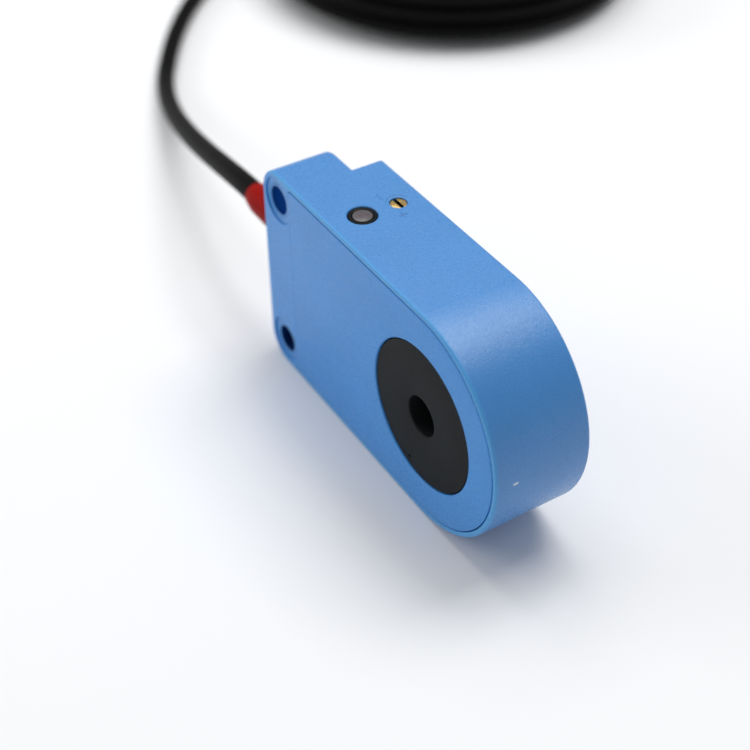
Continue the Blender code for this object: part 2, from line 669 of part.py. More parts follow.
def coil_points():
    """Three columns of turns, each inside the last: up, down and up again, always clockwise from above."""
    points = []
    step = math.radians(360 / STEPS_PER_TURN)
    angle = math.radians(COIL_START_DEG)
    top = TURNS_PER_COLUMN * COIL_PITCH
    column_steps = TURNS_PER_COLUMN * STEPS_PER_TURN
    for column in range(3):
        radius = COIL_RADIUS - column * COIL_PITCH
        start, end = (0, top) if column % 2 == 0 else (top, 0)
        if column:
            for i in range(1, CROSSOVER_STEPS):
                angle -= step
                points.append((angle, radius + COIL_PITCH * (1 - i / CROSSOVER_STEPS), start))
            angle -= step
        for i in range(column_steps + 1):
            points.append((angle - step * i, radius, start + (end - start) * i / column_steps))
        angle -= step * column_steps
    x, y = COIL_CENTRE
    return [(x + r * math.cos(a), y + r * math.sin(a), FLOOR_CABLE_Z + z) for a, r, z in points], angle


def free_end_points(angle):
    """The last arc, which curls into the middle of the coil and comes down to the floor."""
    inner_radius = COIL_RADIUS - 2 * COIL_PITCH
    offset = inner_radius - FREE_END_ARC_RADIUS
    x = COIL_CENTRE[0] + offset * math.cos(angle)
    y = COIL_CENTRE[1] + offset * math.sin(angle)
    top = TURNS_PER_COLUMN * COIL_PITCH
    points = []
    steps = 16
    for i in range(1, steps + 1):
        swept = FREE_END_SWEEP_DEG * i / steps
        fall = max(0.0, (swept - FREE_END_LEVEL_DEG) / (FREE_END_SWEEP_DEG - FREE_END_LEVEL_DEG))
        height = top * (1 - fall * fall * (3 - 2 * fall))
        a = angle - math.radians(swept)
        points.append(
            (
                x + FREE_END_ARC_RADIUS * math.cos(a),
                y + FREE_END_ARC_RADIUS * math.sin(a),
                FLOOR_CABLE_Z + height,
            )
        )
    return points


def make_cable():
    touchdown = Vector(TOUCHDOWN)
    heading = Vector((-math.cos(TOUCHDOWN_HEADING), math.sin(TOUCHDOWN_HEADING), 0))
    exit_point = Vector((GLAND_TIP_X, CABLE_Y, CABLE_Z))
    start_angle = math.radians(COIL_START_DEG)
    coil, end_angle = coil_points()
    coil_heading = Vector((math.sin(start_angle), -math.cos(start_angle), 0))

    points = [Vector((CABLE_INNER_END_X, CABLE_Y, CABLE_Z))]
    exit_handle = exit_point - Vector((EXIT_HANDLE, 0, 0))
    landing_handle = touchdown - heading * TOUCHDOWN_HANDLE_IN
    points += bezier(exit_point, exit_handle, landing_handle, touchdown, LIFTED_STEPS)
    handles = touchdown + heading * TOUCHDOWN_HANDLE_OUT, Vector(coil[0]) - coil_heading * COIL_HANDLE
    points += bezier(touchdown, *handles, coil[0], FLOOR_STEPS)
    points += coil
    free_end = free_end_points(end_angle)
    points += free_end
    wire("cable_jacket", points, CABLE_RADIUS, "cable_black")
    make_free_wires(Vector(free_end[-1]), Vector(free_end[-1]) - Vector(free_end[-2]))


def make_free_wires(end, direction):
    """Three insulated tails that fan out of the jacket's free end, each with a tinned tip."""
    direction = Vector((direction.x, direction.y, 0)).normalized()
    side = Vector((-direction.y, direction.x, 0))
    for i, colour in enumerate(("brown", "blue", "black")):
        offset = (i - 1) * TAIL_SPACING
        start = end + direction * FIT_GAP + side * offset
        bend = start + direction * TAIL_BEND_LENGTH + side * offset * TAIL_BEND_SPREAD
        tip = bend + direction * (TAIL_LENGTH - TAIL_BEND_LENGTH) + side * offset * TAIL_TIP_SPREAD
        wire(f"tail_{colour}", [start, bend, tip], WIRE_RADIUS, f"{colour}_pvc")
        along = (tip - bend).normalized()
        bare_start = tip + along * 0.1
        wire(f"tinned_end_{colour}", [bare_start, bare_start + along * TINNED_LENGTH], TINNED_RADIUS, "tin")


def make_inner_wires():
    """The three conductors from the jacket's inner end to the board's front."""
    for i, colour in enumerate(("brown", "blue", "black")):
        around = math.radians(90 + 120 * i)
        y = CABLE_Y + WIRE_LAY_RADIUS * math.sin(around)
        z = CABLE_Z + WIRE_LAY_RADIUS * math.cos(around)
        pad_z = CABLE_Z + (z - CABLE_Z) * WIRE_SPREAD
        route = [
            (CABLE_INNER_END_X + FIT_GAP, y, z),
            (CABLE_INNER_END_X + 1.8, y, z),
            (BOARD_LEFT_X + 1.6, CABLE_Y, pad_z),
            (BOARD_LEFT_X + 2.6, BOARD_FRONT_Y - WIRE_RADIUS, pad_z),
        ]
        wire(f"wire_{colour}", route, WIRE_RADIUS, f"{colour}_pvc")


def shade():
    for obj in PARTS.objects:
        if obj.type == "MESH":
            obj.data.shade_smooth()
            obj.data.set_sharp_from_angle(angle=math.radians(35))


make_housing()
make_cover()
make_ring_bush()
make_coil()
make_board()
make_board_parts()
make_indicator()
make_adjuster()
make_gland()
make_cable()
make_inner_wires()
shade()
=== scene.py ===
"""Looks of the ring proximity sensor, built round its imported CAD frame.

Lengths are in millimetres, in the CAD's own frame, and become metres where a mesh is made. Faces,
radii and axes come from the CAD nodes' boxes; the constants below are what a box can't tell.
"""

import math

import bmesh
import bpy
from mathutils import Matrix, Vector


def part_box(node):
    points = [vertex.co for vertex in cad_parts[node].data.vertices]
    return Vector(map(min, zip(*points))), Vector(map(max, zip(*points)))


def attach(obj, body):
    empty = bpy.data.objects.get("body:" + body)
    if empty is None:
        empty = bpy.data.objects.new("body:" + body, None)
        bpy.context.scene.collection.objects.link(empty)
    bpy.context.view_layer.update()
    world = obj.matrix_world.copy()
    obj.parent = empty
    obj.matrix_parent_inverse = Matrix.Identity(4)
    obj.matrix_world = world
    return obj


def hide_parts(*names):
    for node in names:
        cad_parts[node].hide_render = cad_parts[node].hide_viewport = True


MM = 0.001

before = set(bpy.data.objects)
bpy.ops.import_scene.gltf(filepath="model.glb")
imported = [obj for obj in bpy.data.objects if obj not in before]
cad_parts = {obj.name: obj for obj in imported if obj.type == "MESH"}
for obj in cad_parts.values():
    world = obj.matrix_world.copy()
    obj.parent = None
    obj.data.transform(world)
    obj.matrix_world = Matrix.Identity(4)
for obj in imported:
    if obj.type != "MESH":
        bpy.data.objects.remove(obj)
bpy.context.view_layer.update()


def node_box(name):
    """Lowest and highest corner of a CAD node, in millimetres."""
    low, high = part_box(name)
    return low / MM, high / MM


def node_centre(name):
    """Middle of a CAD node's box, in millimetres."""
    low, high = node_box(name)
    return (low + high) / 2


CASE_LOW, CASE_HIGH = node_box("housing")
COVER_LOW, COVER_HIGH = node_box("front_cover")
BUSH_LOW, BUSH_HIGH = node_box("ring_bush")
BEZEL_LOW, BEZEL_HIGH = node_box("led_bezel")
LENS_LOW, LENS_HIGH = node_box("led_lens")
SCREW_LOW, SCREW_HIGH = node_box("adjustment_screw")
GLAND_LOW, GLAND_HIGH = node_box("cable_gland")
CABLE_INNER_END_X = node_box("cable_jacket")[1].x
RING_AXIS = node_centre("ring_bush")
LED_AXIS = node_centre("led_bezel")
SCREW_AXIS = node_centre("adjustment_screw")
CABLE_AXIS = node_centre("cable_gland")

# Housing and cover
END_RADIUS = (CASE_HIGH.z - CASE_LOW.z) / 2
TOP_Z = CASE_HIGH.z
EAR_BACK_Y = 0.0
EAR_STEP_X = 4.5
CORNER_RADIUS = 4.5
STEP_CORNER_RADIUS = 0.5
FRONT_EDGE_ROUND = 0.35
BACK_EDGE_ROUND = 0.45
WALL = 1.7
BACK_WALL = 1.6
CAVITY_LEFT_X = 6.2
CAVITY_CORNER = 1.5
RIM = 0.8
COVER_GAP = 0.15
BUSH_GAP = 0.2
COVER_EDGE_ROUND = 0.12
SEAT_DEPTH = 1.4
HAIRLINE = 0.01
SEAT_LEFT_X = COVER_LOW.x - HAIRLINE
SEAT_CORNER = 0.8
COVER_CORNER = 0.6
FIXING_HOLE_SPACING = 26.0
FIXING_HOLE_RADIUS = 2.15
FIXING_RECESS_RADIUS = 3.6
FIXING_RECESS_DEPTH = 0.3
GLAND_HOLE_RADIUS = 2.8
CHANNEL_HALF = 4.0
END_WALL = 1.6
SCREW_BOSS_RADIUS = 2.6
SCREW_BOSS_BOTTOM_Z = 13.0
SEAL_POCKET_RADIUS = 1.95
SEAL_POCKET_TOP_Z = 14.9
MOUTH = 0.12

# How far a cutter reaches past the face it cuts, and a joined piece into the one it joins
OVERSHOOT = 1.0
OVERLAP = 0.5

CASE_BLUE = (0.050, 0.236, 0.585)
# A paler blue painted on the rounded rim round the cover: a painted highlight where light catches the edge.
RIM_HIGHLIGHT_BLUE = (0.080, 0.340, 0.700, 1)
BLUE_SHEEN = 0.6
# The front's blue is painted lighter than the case's other faces, standing in for light on the front; the
# lower sheen is the front's more matt finish.
FRONT_LIT_BLUE = (0.052, 0.268, 0.675)
FRONT_SHEEN = 0.25
GRAIN_SIZE = 0.22
FINE_GRAIN_SIZE = 0.12
# Painted shade in the fixing holes: dark blue at the mouth, darker deeper in, and the depth in millimetres
# over which it darkens.
HOLE_MOUTH_SHADE = (0.003, 0.032, 0.170, 1)
HOLE_DEEP_SHADE = (0.001, 0.013, 0.080, 1)
HOLE_SHADE_FADE = 4.0
NICK_CENTRE = (CASE_HIGH.x, -6.9, 0.7)

# Ring bush
BORE_RADIUS = 3.0
BUSH_TUBE_RADIUS = 4.5
BUSH_FLANGE_THICKNESS = 1.6
BUSH_PIT = (35.4, -9.45)
BUSH_PIT_RADIUS = 0.28

# Indicator and adjusting screw
BEZEL_RADIUS = 2.08
BEZEL_BORE_RADIUS = 1.5
BEZEL_FLANGE_THICKNESS = 0.55
BEZEL_GAP = 0.1
LENS_FALL = 0.1
SCREW_RADIUS = 1.25
SCREW_SLOT_WIDTH = 0.6
SCREW_SLOT_DEPTH = 0.8
SCREW_HEAD_LENGTH = 2.55
SCREW_SHANK_RADIUS = 0.8
BLADE_LENGTH = 1.3
BLADE_THICKNESS = 0.4
BLADE_REACH = 1.0
SCREW_GAP = 0.05
COUNTERSINK_RADIUS = 1.75
COUNTERSINK_DEPTH = 0.09
MARK_HEIGHT = 0.07
MARK_WIDTH = 0.26
MARK_LENGTH = 1.4
MINUS_PLACE = (-2.55, -1.5)
PLUS_PLACE = (2.85, -1.05)

# Strain relief, cable and coil, on the same path as the CAD cable
CABLE_RADIUS = 1.8
GLAND_NECK_RADIUS = 2.6
GLAND_COLLAR_RADIUS = 3.6
GLAND_COLLAR_THICKNESS = 1.5
GLAND_SLEEVE_RADIUS = 2.45
GLAND_NOSE_X = -15.0
GLAND_TIP_RADIUS = 2.0
GLAND_BORE_RADIUS = 1.85
FLOOR_CABLE_Z = CASE_LOW.z + CABLE_RADIUS
TOUCHDOWN = Vector((-92.1, 12.9, FLOOR_CABLE_Z))
TOUCHDOWN_HEADING = math.radians(29.8)
EXIT_HANDLE = 11.9
TOUCHDOWN_HANDLE_IN = 21.6
TOUCHDOWN_HANDLE_OUT = 32.2
COIL_HANDLE = 34.8
COIL_CENTRE = (-105.5, 91.6)
COIL_RADIUS = 40.85
COIL_START_DEG = 195.5
COIL_PITCH = 3.8
TURNS_PER_COLUMN = 3
CROSSOVER_DEG = 48.0
FREE_END_ARC_RADIUS = 14.0
FREE_END_SWEEP_DEG = 204.0
FREE_END_LEVEL_DEG = 60.0
PATH_STEP_DEG = 4.0
BEND_STEPS = 60
FREE_END_STEPS = 48

# Camera: where it stands, which way it looks, and its field and depth of focus
CAMERA_PLACE = (153.75, -87.90, 129.20)
CAMERA_RIGHT = Vector((0.5276, 0.8494, -0.0068))
CAMERA_UP = Vector((-0.5558, 0.3513, 0.7535))
CAMERA_BACK = Vector((0.6426, -0.3938, 0.6574))
CAMERA_LENS = 68.1
FOCUS_DEPTH = 188.0
APERTURE = 17.5

# Studio: each softbox's name, place, width and height, and power in watts
SOFTBOXES = (
    ("overhead_softbox", (-25, 270, 620), (340, 340), 2.15),
    ("side_softbox", (-240, 40, 560), (400, 400), 1.36),
    ("front_fill", (-500, -520, 320), (500, 260), 1.65),
)
LIGHT_TARGET = (10, 0, 0)
SKY_COLOUR = (0.975, 0.985, 1.0, 1)
SKY_STRENGTH = 0.365
FLOOR_REACH = 4000

# Mesh fineness
ROUND_STEPS = 96
ON_AXIS = 1e-6
WELD = 0.002
FLAT_FACE_AREA = 12.0
END_ARC_STEPS = 128
ALONG_X = Matrix.Rotation(math.radians(90), 4, "Y")
ALONG_Y = Matrix.Rotation(math.radians(-90), 4, "X")
ALONG_Z = Matrix.Identity(4)


# ---------------------------------------------------------------- shapes


def new_object(name, shape, centre=(0, 0, 0), turn=ALONG_Z):
    """An object from a bmesh in millimetres, its place baked into its mesh."""
    bmesh.ops.transform(shape, matrix=turn, verts=shape.verts)
    bmesh.ops.translate(shape, vec=Vector(centre), verts=shape.verts)
    bmesh.ops.scale(shape, vec=(MM, MM, MM), verts=shape.verts)
    bmesh.ops.recalc_face_normals(shape, faces=shape.faces)
    mesh = bpy.data.meshes.new(name)
    shape.to_mesh(mesh)
    shape.free()
    obj = bpy.data.objects.new(name, mesh)
    bpy.context.scene.collection.objects.link(obj)
    return obj


def softened(points, steps=5, closed=False):
    """A profile with its corners rounded. A point is (a, b) if sharp, or (a, b, radius)."""
    weight = math.sqrt(0.5)
    result = []
    count = len(points)
    for i, point in enumerate(points):
        corner = Vector(point[:2])
        if len(point) < 3 or (not closed and i in (0, count - 1)):
            result.append(tuple(corner))
            continue
        before = Vector(points[i - 1][:2]) - corner
        after = Vector(points[(i + 1) % count][:2]) - corner
        start = corner + before.normalized() * min(point[2], before.length * 0.49)
        end = corner + after.normalized() * min(point[2], after.length * 0.49)
        for k in range(steps + 1):
            t = k / steps
            a, b, c = (1 - t) ** 2, 2 * t * (1 - t) * weight, t * t
            result.append(tuple((start * a + corner * b + end * c) / (a + b + c)))
    return result


def turned(name, profile, centre=(0, 0, 0), turn=ALONG_Z, steps=ROUND_STEPS):
    """A closed turned shape from (radius, height) points. A profile off the axis closes on itself."""
    shape = bmesh.new()
    rings = []
    for radius, height in profile:
        if radius < ON_AXIS:
            rings.append([shape.verts.new((0, 0, height))])
            continue
        ring = []
        for i in range(steps):
            angle = 2 * math.pi * i / steps
            ring.append(shape.verts.new((radius * math.cos(angle), radius * math.sin(angle), height)))
        rings.append(ring)
    pairs = list(zip(rings, rings[1:]))
    if len(rings[0]) > 1 and len(rings[-1]) > 1:
        pairs.append((rings[-1], rings[0]))
    for first, second in pairs:
        for i in range(steps):
            j = (i + 1) % steps
            if len(first) == 1 and len(second) == 1:
                continue
            if len(first) == 1:
                shape.faces.new((first[0], second[i], second[j]))
            elif len(second) == 1:
                shape.faces.new((first[i], first[j], second[0]))
            else:
                shape.faces.new((first[i], first[j], second[j], second[i]))
    return new_object(name, shape, centre, turn)


def lofted(name, sections):
    """A closed solid through (y, outline) sections that all have the same number of points."""
    shape = bmesh.new()
    rings = [[shape.verts.new((x, y, z)) for x, z in outline] for y, outline in sections]
    count = len(rings[0])
    for first, second in zip(rings, rings[1:]):
        for i in range(count):
            j = (i + 1) % count
            shape.faces.new((first[i], first[j], second[j], second[i]))
    shape.faces.new(rings[0])
    shape.faces.new(rings[-1])
    return new_object(name, shape)


def block(name, low, high, edge=0.0):
    """A box between two corners, its edges rounded when edge is given."""
    low, high = Vector(low), Vector(high)
    shape = bmesh.new()
    bmesh.ops.create_cube(shape, size=1)
    bmesh.ops.scale(shape, vec=high - low, verts=shape.verts)
    if edge:
        bmesh.ops.bevel(shape, geom=list(shape.edges), offset=edge, segments=3, profile=0.5, affect="EDGES")
    return new_object(name, shape, (low + high) / 2)


def arc(centre, radius, start_deg, end_deg, steps):
    """Points along a circular arc, both ends included."""
    angles = [math.radians(start_deg + (end_deg - start_deg) * i / steps) for i in range(steps + 1)]
    return [(centre[0] + radius * math.cos(a), centre[1] + radius * math.sin(a)) for a in angles]


def stadium(left_x, inset, corner, corner_steps=12):
    """The case's outline drawn in by an inset: a half round at the ring, a square end at left_x."""
    radius = END_RADIUS - inset
    return (
        arc((RING_AXIS.x, 0), radius, -90, 90, END_ARC_STEPS)
        + arc((left_x + corner, radius - corner), corner, 90, 180, corner_steps)
        + arc((left_x + corner, corner - radius), corner, 180, 270, corner_steps)
    )


def case_sections(left_x, corner, profile):
    """Sections of the case for (inset, y) points: each inset draws the outline in on every side."""
    return [(y, stadium(left_x + inset, inset, max(corner - inset, 0.05))) for inset, y in profile]


def carve(obj, steps):
    """Runs (operation, other object) Booleans in turn and keeps only their result."""
    for operation, other in steps:
        modifier = obj.modifiers.new(other.name, "BOOLEAN")
        modifier.operation = operation
        modifier.solver = "EXACT"
        modifier.object = other
        bpy.context.view_layer.update()
        evaluated = obj.evaluated_get(bpy.context.evaluated_depsgraph_get())
        mesh = bpy.data.meshes.new_from_object(evaluated)
        obj.modifiers.clear()
        obj.data = mesh
        bpy.data.objects.remove(other, do_unlink=True)
    return obj


def clean(obj, sharp_deg=32):
    """Welds slivers and shades smooth up to an angle. A big face is flat, so its edges are kept sharp."""
    shape = bmesh.new()
    shape.from_mesh(obj.data)
    bmesh.ops.remove_doubles(shape, verts=shape.verts, dist=WELD * MM)
    bmesh.ops.dissolve_degenerate(shape, edges=shape.edges, dist=WELD * MM)
    shape.to_mesh(obj.data)
    obj.data.shade_smooth()
    obj.data.set_sharp_from_angle(angle=math.radians(sharp_deg))
    shape.edges.ensure_lookup_table()
    for edge in shape.edges:
        if any(face.calc_area() > FLAT_FACE_AREA * MM * MM for face in edge.link_faces):
            obj.data.edges[edge.index].use_edge_sharp = True
    shape.free()
    return obj


def swept(name, path, radius, sides=24):
    """A round tube along a path in millimetres, with slightly domed ends, built without twist."""
    shape = bmesh.new()
    rings = []
    normal = Vector((0, 0, 1))
    last = len(path) - 1
    for i, point in enumerate(path):
        tangent = (path[min(i + 1, last)] - path[max(i - 1, 0)]).normalized()
        normal = (normal - tangent * normal.dot(tangent)).normalized()
        across = tangent.cross(normal)
        reach = radius * (0.93 if i in (0, last) else 1.0)
        ring = []
        for k in range(sides):
            angle = 2 * math.pi * k / sides
            outward = normal * math.cos(angle) + across * math.sin(angle)
            ring.append(shape.verts.new(point + outward * reach))
        rings.append(ring)
    for first, second in zip(rings, rings[1:]):
        for k in range(sides):
            j = (k + 1) % sides
            shape.faces.new((first[k], first[j], second[j], second[k]))
    shape.faces.new(rings[0])
    shape.faces.new(rings[-1])
    obj = new_object(name, shape)
    obj.data.shade_smooth()
    obj.data.set_sharp_from_angle(angle=math.radians(40))
    return obj


# ---------------------------------------------------------------- materials


class Nodes:
    """A material's node tree, with short calls for the nodes that the materials here share."""

    def __init__(self, name):
        self.material = bpy.data.materials.new(name)
        self.material.use_nodes = True
        self.tree = self.material.node_tree
        self.shader = self.tree.nodes["Principled BSDF"]
        self.place = self.add("ShaderNodeTexCoord").outputs["Object"]

    def add(self, kind, **settings):
        node = self.tree.nodes.new(kind)
        for key, value in settings.items():
            setattr(node, key, value)
        return node

    def put(self, socket, value):
        if isinstance(value, bpy.types.NodeSocket):
            self.tree.links.new(value, socket)
        else:
            socket.default_value = value

    def noise(self, size_mm, detail=2.0, roughness=0.5, stretch=(1, 1, 1)):
        """Noise from 0 to 1 whose features are about size_mm across, longer where stretch is under 1."""
        mapping = self.add("ShaderNodeMapping")
        mapping.inputs["Scale"].default_value = [s / (size_mm * MM) for s in stretch]
        self.put(mapping.inputs["Vector"], self.place)
        node = self.add("ShaderNodeTexNoise")
        node.inputs["Scale"].default_value = 1.0
        node.inputs["Detail"].default_value = detail
        node.inputs["Roughness"].default_value = roughness
        self.put(node.inputs["Vector"], mapping.outputs["Vector"])
        return node.outputs["Fac"]

    def ranged(self, value, low, high, from_low=0.0, from_high=1.0):
        """A value carried from one range to another, and held at the new range's ends."""
        node = self.add("ShaderNodeMapRange")
        self.put(node.inputs["Value"], value)
        limits = {"From Min": from_low, "From Max": from_high, "To Min": low, "To Max": high}
        for key, number in limits.items():
            node.inputs[key].default_value = number
        return node.outputs["Result"]

    def math(self, operation, first, second=0.0):
        node = self.add("ShaderNodeMath", operation=operation)
        self.put(node.inputs[0], first)
        self.put(node.inputs[1], second)
        return node.outputs["Value"]

    def mixed(self, factor, first, second):
        """A colour between two, by a factor from 0 to 1."""
        node = self.add("ShaderNodeMix", data_type="RGBA")
        self.put(node.inputs["Factor"], factor)
        self.put(node.inputs[6], first)
        self.put(node.inputs[7], second)
        return node.outputs[2]

    def distance_mm(self, point, along=(1, 1, 1)):
        """Distance in millimetres from a point, counted along the axes that along keeps."""
        offset = self.add("ShaderNodeVectorMath", operation="SUBTRACT")
        self.put(offset.inputs[0], self.place)
        offset.inputs[1].default_value = Vector(point) * MM
        kept = self.add("ShaderNodeVectorMath", operation="MULTIPLY")
        self.put(kept.inputs[0], offset.outputs["Vector"])
        kept.inputs[1].default_value = [a / MM for a in along]
        length = self.add("ShaderNodeVectorMath", operation="LENGTH")
        self.put(length.inputs[0], kept.outputs["Vector"])
        return length.outputs["Value"]

    def coordinate_mm(self, axis):
        split = self.add("ShaderNodeSeparateXYZ")
        self.put(split.inputs[0], self.place)
        return self.math("DIVIDE", split.outputs[axis], MM)

    def hypotenuse(self, first, second):
        """Distance given by its two parts at right angles."""
        squares = [self.math("MULTIPLY", side, side) for side in (first, second)]
        return self.math("SQRT", self.math("ADD", *squares))

    def bumped(self, *layers):
        """Feeds stacked bumps, each (height, depth in millimetres, strength), to the shader's normal."""
        normal = None
        for height, depth, strength in layers:
            node = self.add("ShaderNodeBump")
            node.inputs["Distance"].default_value = depth * MM
            node.inputs["Strength"].default_value = strength
            self.put(node.inputs["Height"], height)
            if normal:
                self.put(node.inputs["Normal"], normal)
            normal = node.outputs["Normal"]
        self.put(self.shader.inputs["Normal"], normal)

    def surface(self, **inputs):
        for key, value in inputs.items():
            self.put(self.shader.inputs[key.replace("_", " ").title().replace("Ior", "IOR")], value)
        return self.material


def scaled(colour, factor):
    """A colour made lighter or darker, with its alpha of 1."""
    return (*(c * factor for c in colour[:3]), 1)


def blue_colour(n, blue):
    """One of the case's blues, with faint flow shades and paler flecks in its grain."""
    shades = n.ranged(n.noise(9.0, 3.0), 0.0, 1.0, 0.3, 0.7)
    colour = n.mixed(shades, scaled(blue, 0.965), scaled(blue, 1.035))
    flecks = n.ranged(n.noise(0.16, 2.0, 0.6), 0.0, 0.10, 0.35, 0.75)
    return n.mixed(flecks, colour, (0.14, 0.38, 0.78, 1))


def blue_surface(n, colour, sheen):
    """The spark-eroded grain that the case's two mouldings share."""
    grain = n.noise(GRAIN_SIZE, 3.0, 0.65)
    n.bumped((grain, 0.065, 0.8), (n.noise(FINE_GRAIN_SIZE, 2.0, 0.6), 0.014, 0.6))
    roughness = n.ranged(grain, 0.21, 0.39, 0.35, 0.65)
    return n.surface(base_color=colour, roughness=roughness, specular_ior_level=sheen)


def cover_plastic():
    """The cover's blue, painted lighter for the light on the front, and as matt as the front of the housing.
    """
    n = Nodes("cover_plastic")
    return blue_surface(n, blue_colour(n, FRONT_LIT_BLUE), FRONT_SHEEN)


def housing_plastic():
    """The case's blue: painted lighter and more matt on the front, with a painted highlight on the rim,
    painted shade deep in the holes, and one small nick.
    """
    n = Nodes("housing_plastic")
    x, y, z = (n.coordinate_mm(axis) for axis in "XYZ")
    past_ring = n.math("MAXIMUM", n.math("SUBTRACT", x, RING_AXIS.x), 0.0)
    reach = n.hypotenuse(past_ring, z)
    # Painted highlight: the band of the rim on the front, where light catches the rounded edge, gets a paler
    # blue.
    rim_highlight_band = n.ranged(reach, 0.0, 1.0, END_RADIUS - RIM - 0.1, END_RADIUS - RIM + 0.1)
    at_front = n.ranged(y, 1.0, 0.0, CASE_LOW.y + 0.1, CASE_LOW.y + 0.5)
    # The front faces get the lighter blue, painted light, in place of the case's blue.
    colour = n.mixed(at_front, blue_colour(n, CASE_BLUE), blue_colour(n, FRONT_LIT_BLUE))
    colour = n.mixed(n.math("MULTIPLY", rim_highlight_band, at_front), colour, RIM_HIGHLIGHT_BLUE)

    # Painted shade in the fixing holes: their walls are painted dark blue, darker further in, and lose their
    # sheen.
    from_hole_z = n.math("SUBTRACT", n.math("ABSOLUTE", z), FIXING_HOLE_SPACING / 2)
    hole_radius = n.hypotenuse(x, from_hole_z)
    hole_shade_mask = n.ranged(hole_radius, 1.0, 0.0, FIXING_HOLE_RADIUS + 0.02, FIXING_HOLE_RADIUS + 0.1)
    depth = n.ranged(y, 0.0, 1.0, CASE_LOW.y, CASE_LOW.y + HOLE_SHADE_FADE)
    colour = n.mixed(hole_shade_mask, colour, n.mixed(depth, HOLE_MOUTH_SHADE, HOLE_DEEP_SHADE))

    ragged = n.ranged(n.noise(0.25, 2.0), -0.35, 0.35)
    nick_distance = n.math("ADD", n.distance_mm(NICK_CENTRE, (0.3, 0.9, 2.2)), ragged)
    nick = n.ranged(nick_distance, 1.0, 0.0, 0.32, 0.42)
    colour = n.mixed(nick, colour, (0.80, 0.86, 0.92, 1))
    sheen = n.math("MULTIPLY", n.ranged(at_front, BLUE_SHEEN, FRONT_SHEEN), n.math("SUBTRACT", 1.0, hole_shade_mask))
    return blue_surface(n, colour, sheen)


def black_plastic(name, base, roughness, grain_mm=0.14, strength=0.35):
    """Matte black moulding with a fine grain and faint rubbed patches."""
    n = Nodes(name)
    rubbed = n.ranged(n.noise(4.0, 4.0, 0.6), 0.0, 1.0, 0.45, 0.75)
    colour = n.mixed(rubbed, base, scaled(base, 1.18))
    grain = n.noise(grain_mm, 2.0, 0.6)
    n.bumped((grain, 0.01, strength))
    rough = n.ranged(n.noise(1.6, 3.0), roughness - 0.04, roughness + 0.05)
    return n.surface(base_color=colour, roughness=rough, specular_ior_level=0.11)


def cable_rubber():
    """Extruded jacket: nearly black, matte, with a long soft grain and faint dust."""
    n = Nodes("cable_rubber")
    dust = n.ranged(n.noise(1.1, 5.0, 0.7), 0.0, 0.35, 0.62, 0.80)
    colour = n.mixed(dust, (0.0035, 0.0035, 0.0033, 1), (0.012, 0.0115, 0.011, 1))
    n.bumped((n.noise(1.5, 3.0), 0.03, 0.2), (n.noise(0.12, 2.0), 0.008, 0.3))
    rough = n.ranged(n.noise(2.5, 3.0), 0.46, 0.58)
    return n.surface(base_color=colour, roughness=rough, specular_ior_level=0.07)


def gland_rubber():
    """Red moulded rubber with painted shade darkening it towards the case, and a soft sheen."""
    n = Nodes("gland_rubber")
    # Painted shade: the red is lighter at the tip and darker towards the case.
    along = n.ranged(n.coordinate_mm("X"), 1.0, 0.0, GLAND_LOW.x, GLAND_HIGH.x)
    colour = n.mixed(along, (0.20, 0.002, 0.002, 1), (0.31, 0.007, 0.005, 1))
    mottled = n.ranged(n.noise(0.9, 3.0), 0.0, 0.25, 0.4, 0.7)
    colour = n.mixed(mottled, colour, (0.15, 0.001, 0.001, 1))
    n.bumped((n.noise(0.2, 2.0), 0.012, 0.3))
    rough = n.ranged(n.noise(1.2, 2.0), 0.42, 0.55)
    return n.surface(base_color=colour, roughness=rough, specular_ior_level=0.05)


def smoked_lens():
    """Grey-violet translucent plastic, with the dark die of the LED showing faintly under a gloss."""
    n = Nodes("smoked_lens")
    radius = n.distance_mm(LED_AXIS, (1, 1, 0))
    rim = n.ranged(radius, 0.0, 1.0, 0.75, 1.38)
    inner = n.ranged(n.noise(0.55, 2.0), 0.0, 1.0, 0.35, 0.65)
    core = n.mixed(inner, (0.068, 0.047, 0.055, 1), (0.105, 0.088, 0.102, 1))
    colour = n.mixed(rim, core, (0.088, 0.082, 0.085, 1))
    n.bumped((n.noise(0.5, 2.0), 0.01, 0.2))
    rough = n.ranged(n.noise(0.8, 2.0), 0.26, 0.36)
    return n.surface(base_color=colour, roughness=rough, coat_weight=0.25, coat_roughness=0.12)


def turned_brass():
    """Brass with turning rings round its axis, tarnished in patches, with painted shade in its slot and down
    its sunk sides.
    """
    n = Nodes("turned_brass")
    radius = n.distance_mm(SCREW_AXIS, (1, 1, 0))
    rings = n.math("SINE", n.math("MULTIPLY", radius, 58.0))
    tarnish = n.ranged(n.noise(0.7, 4.0, 0.65), 0.0, 1.0, 0.42, 0.72)
    colour = n.mixed(tarnish, (0.80, 0.55, 0.20, 1), (0.34, 0.20, 0.06, 1))
    # Painted shade: the brass is painted near black in the slot and down the sides of the head.
    sunk_shade = n.ranged(n.coordinate_mm("Z"), 1.0, 0.0, SCREW_HIGH.z - 0.25, SCREW_HIGH.z - 0.1)
    colour = n.mixed(sunk_shade, colour, (0.012, 0.008, 0.004, 1))
    n.bumped((rings, 0.004, 0.5), (n.noise(0.2, 3.0), 0.01, 0.25))
    rough = n.ranged(tarnish, 0.22, 0.42)
    return n.surface(base_color=colour, metallic=1.0, roughness=rough)


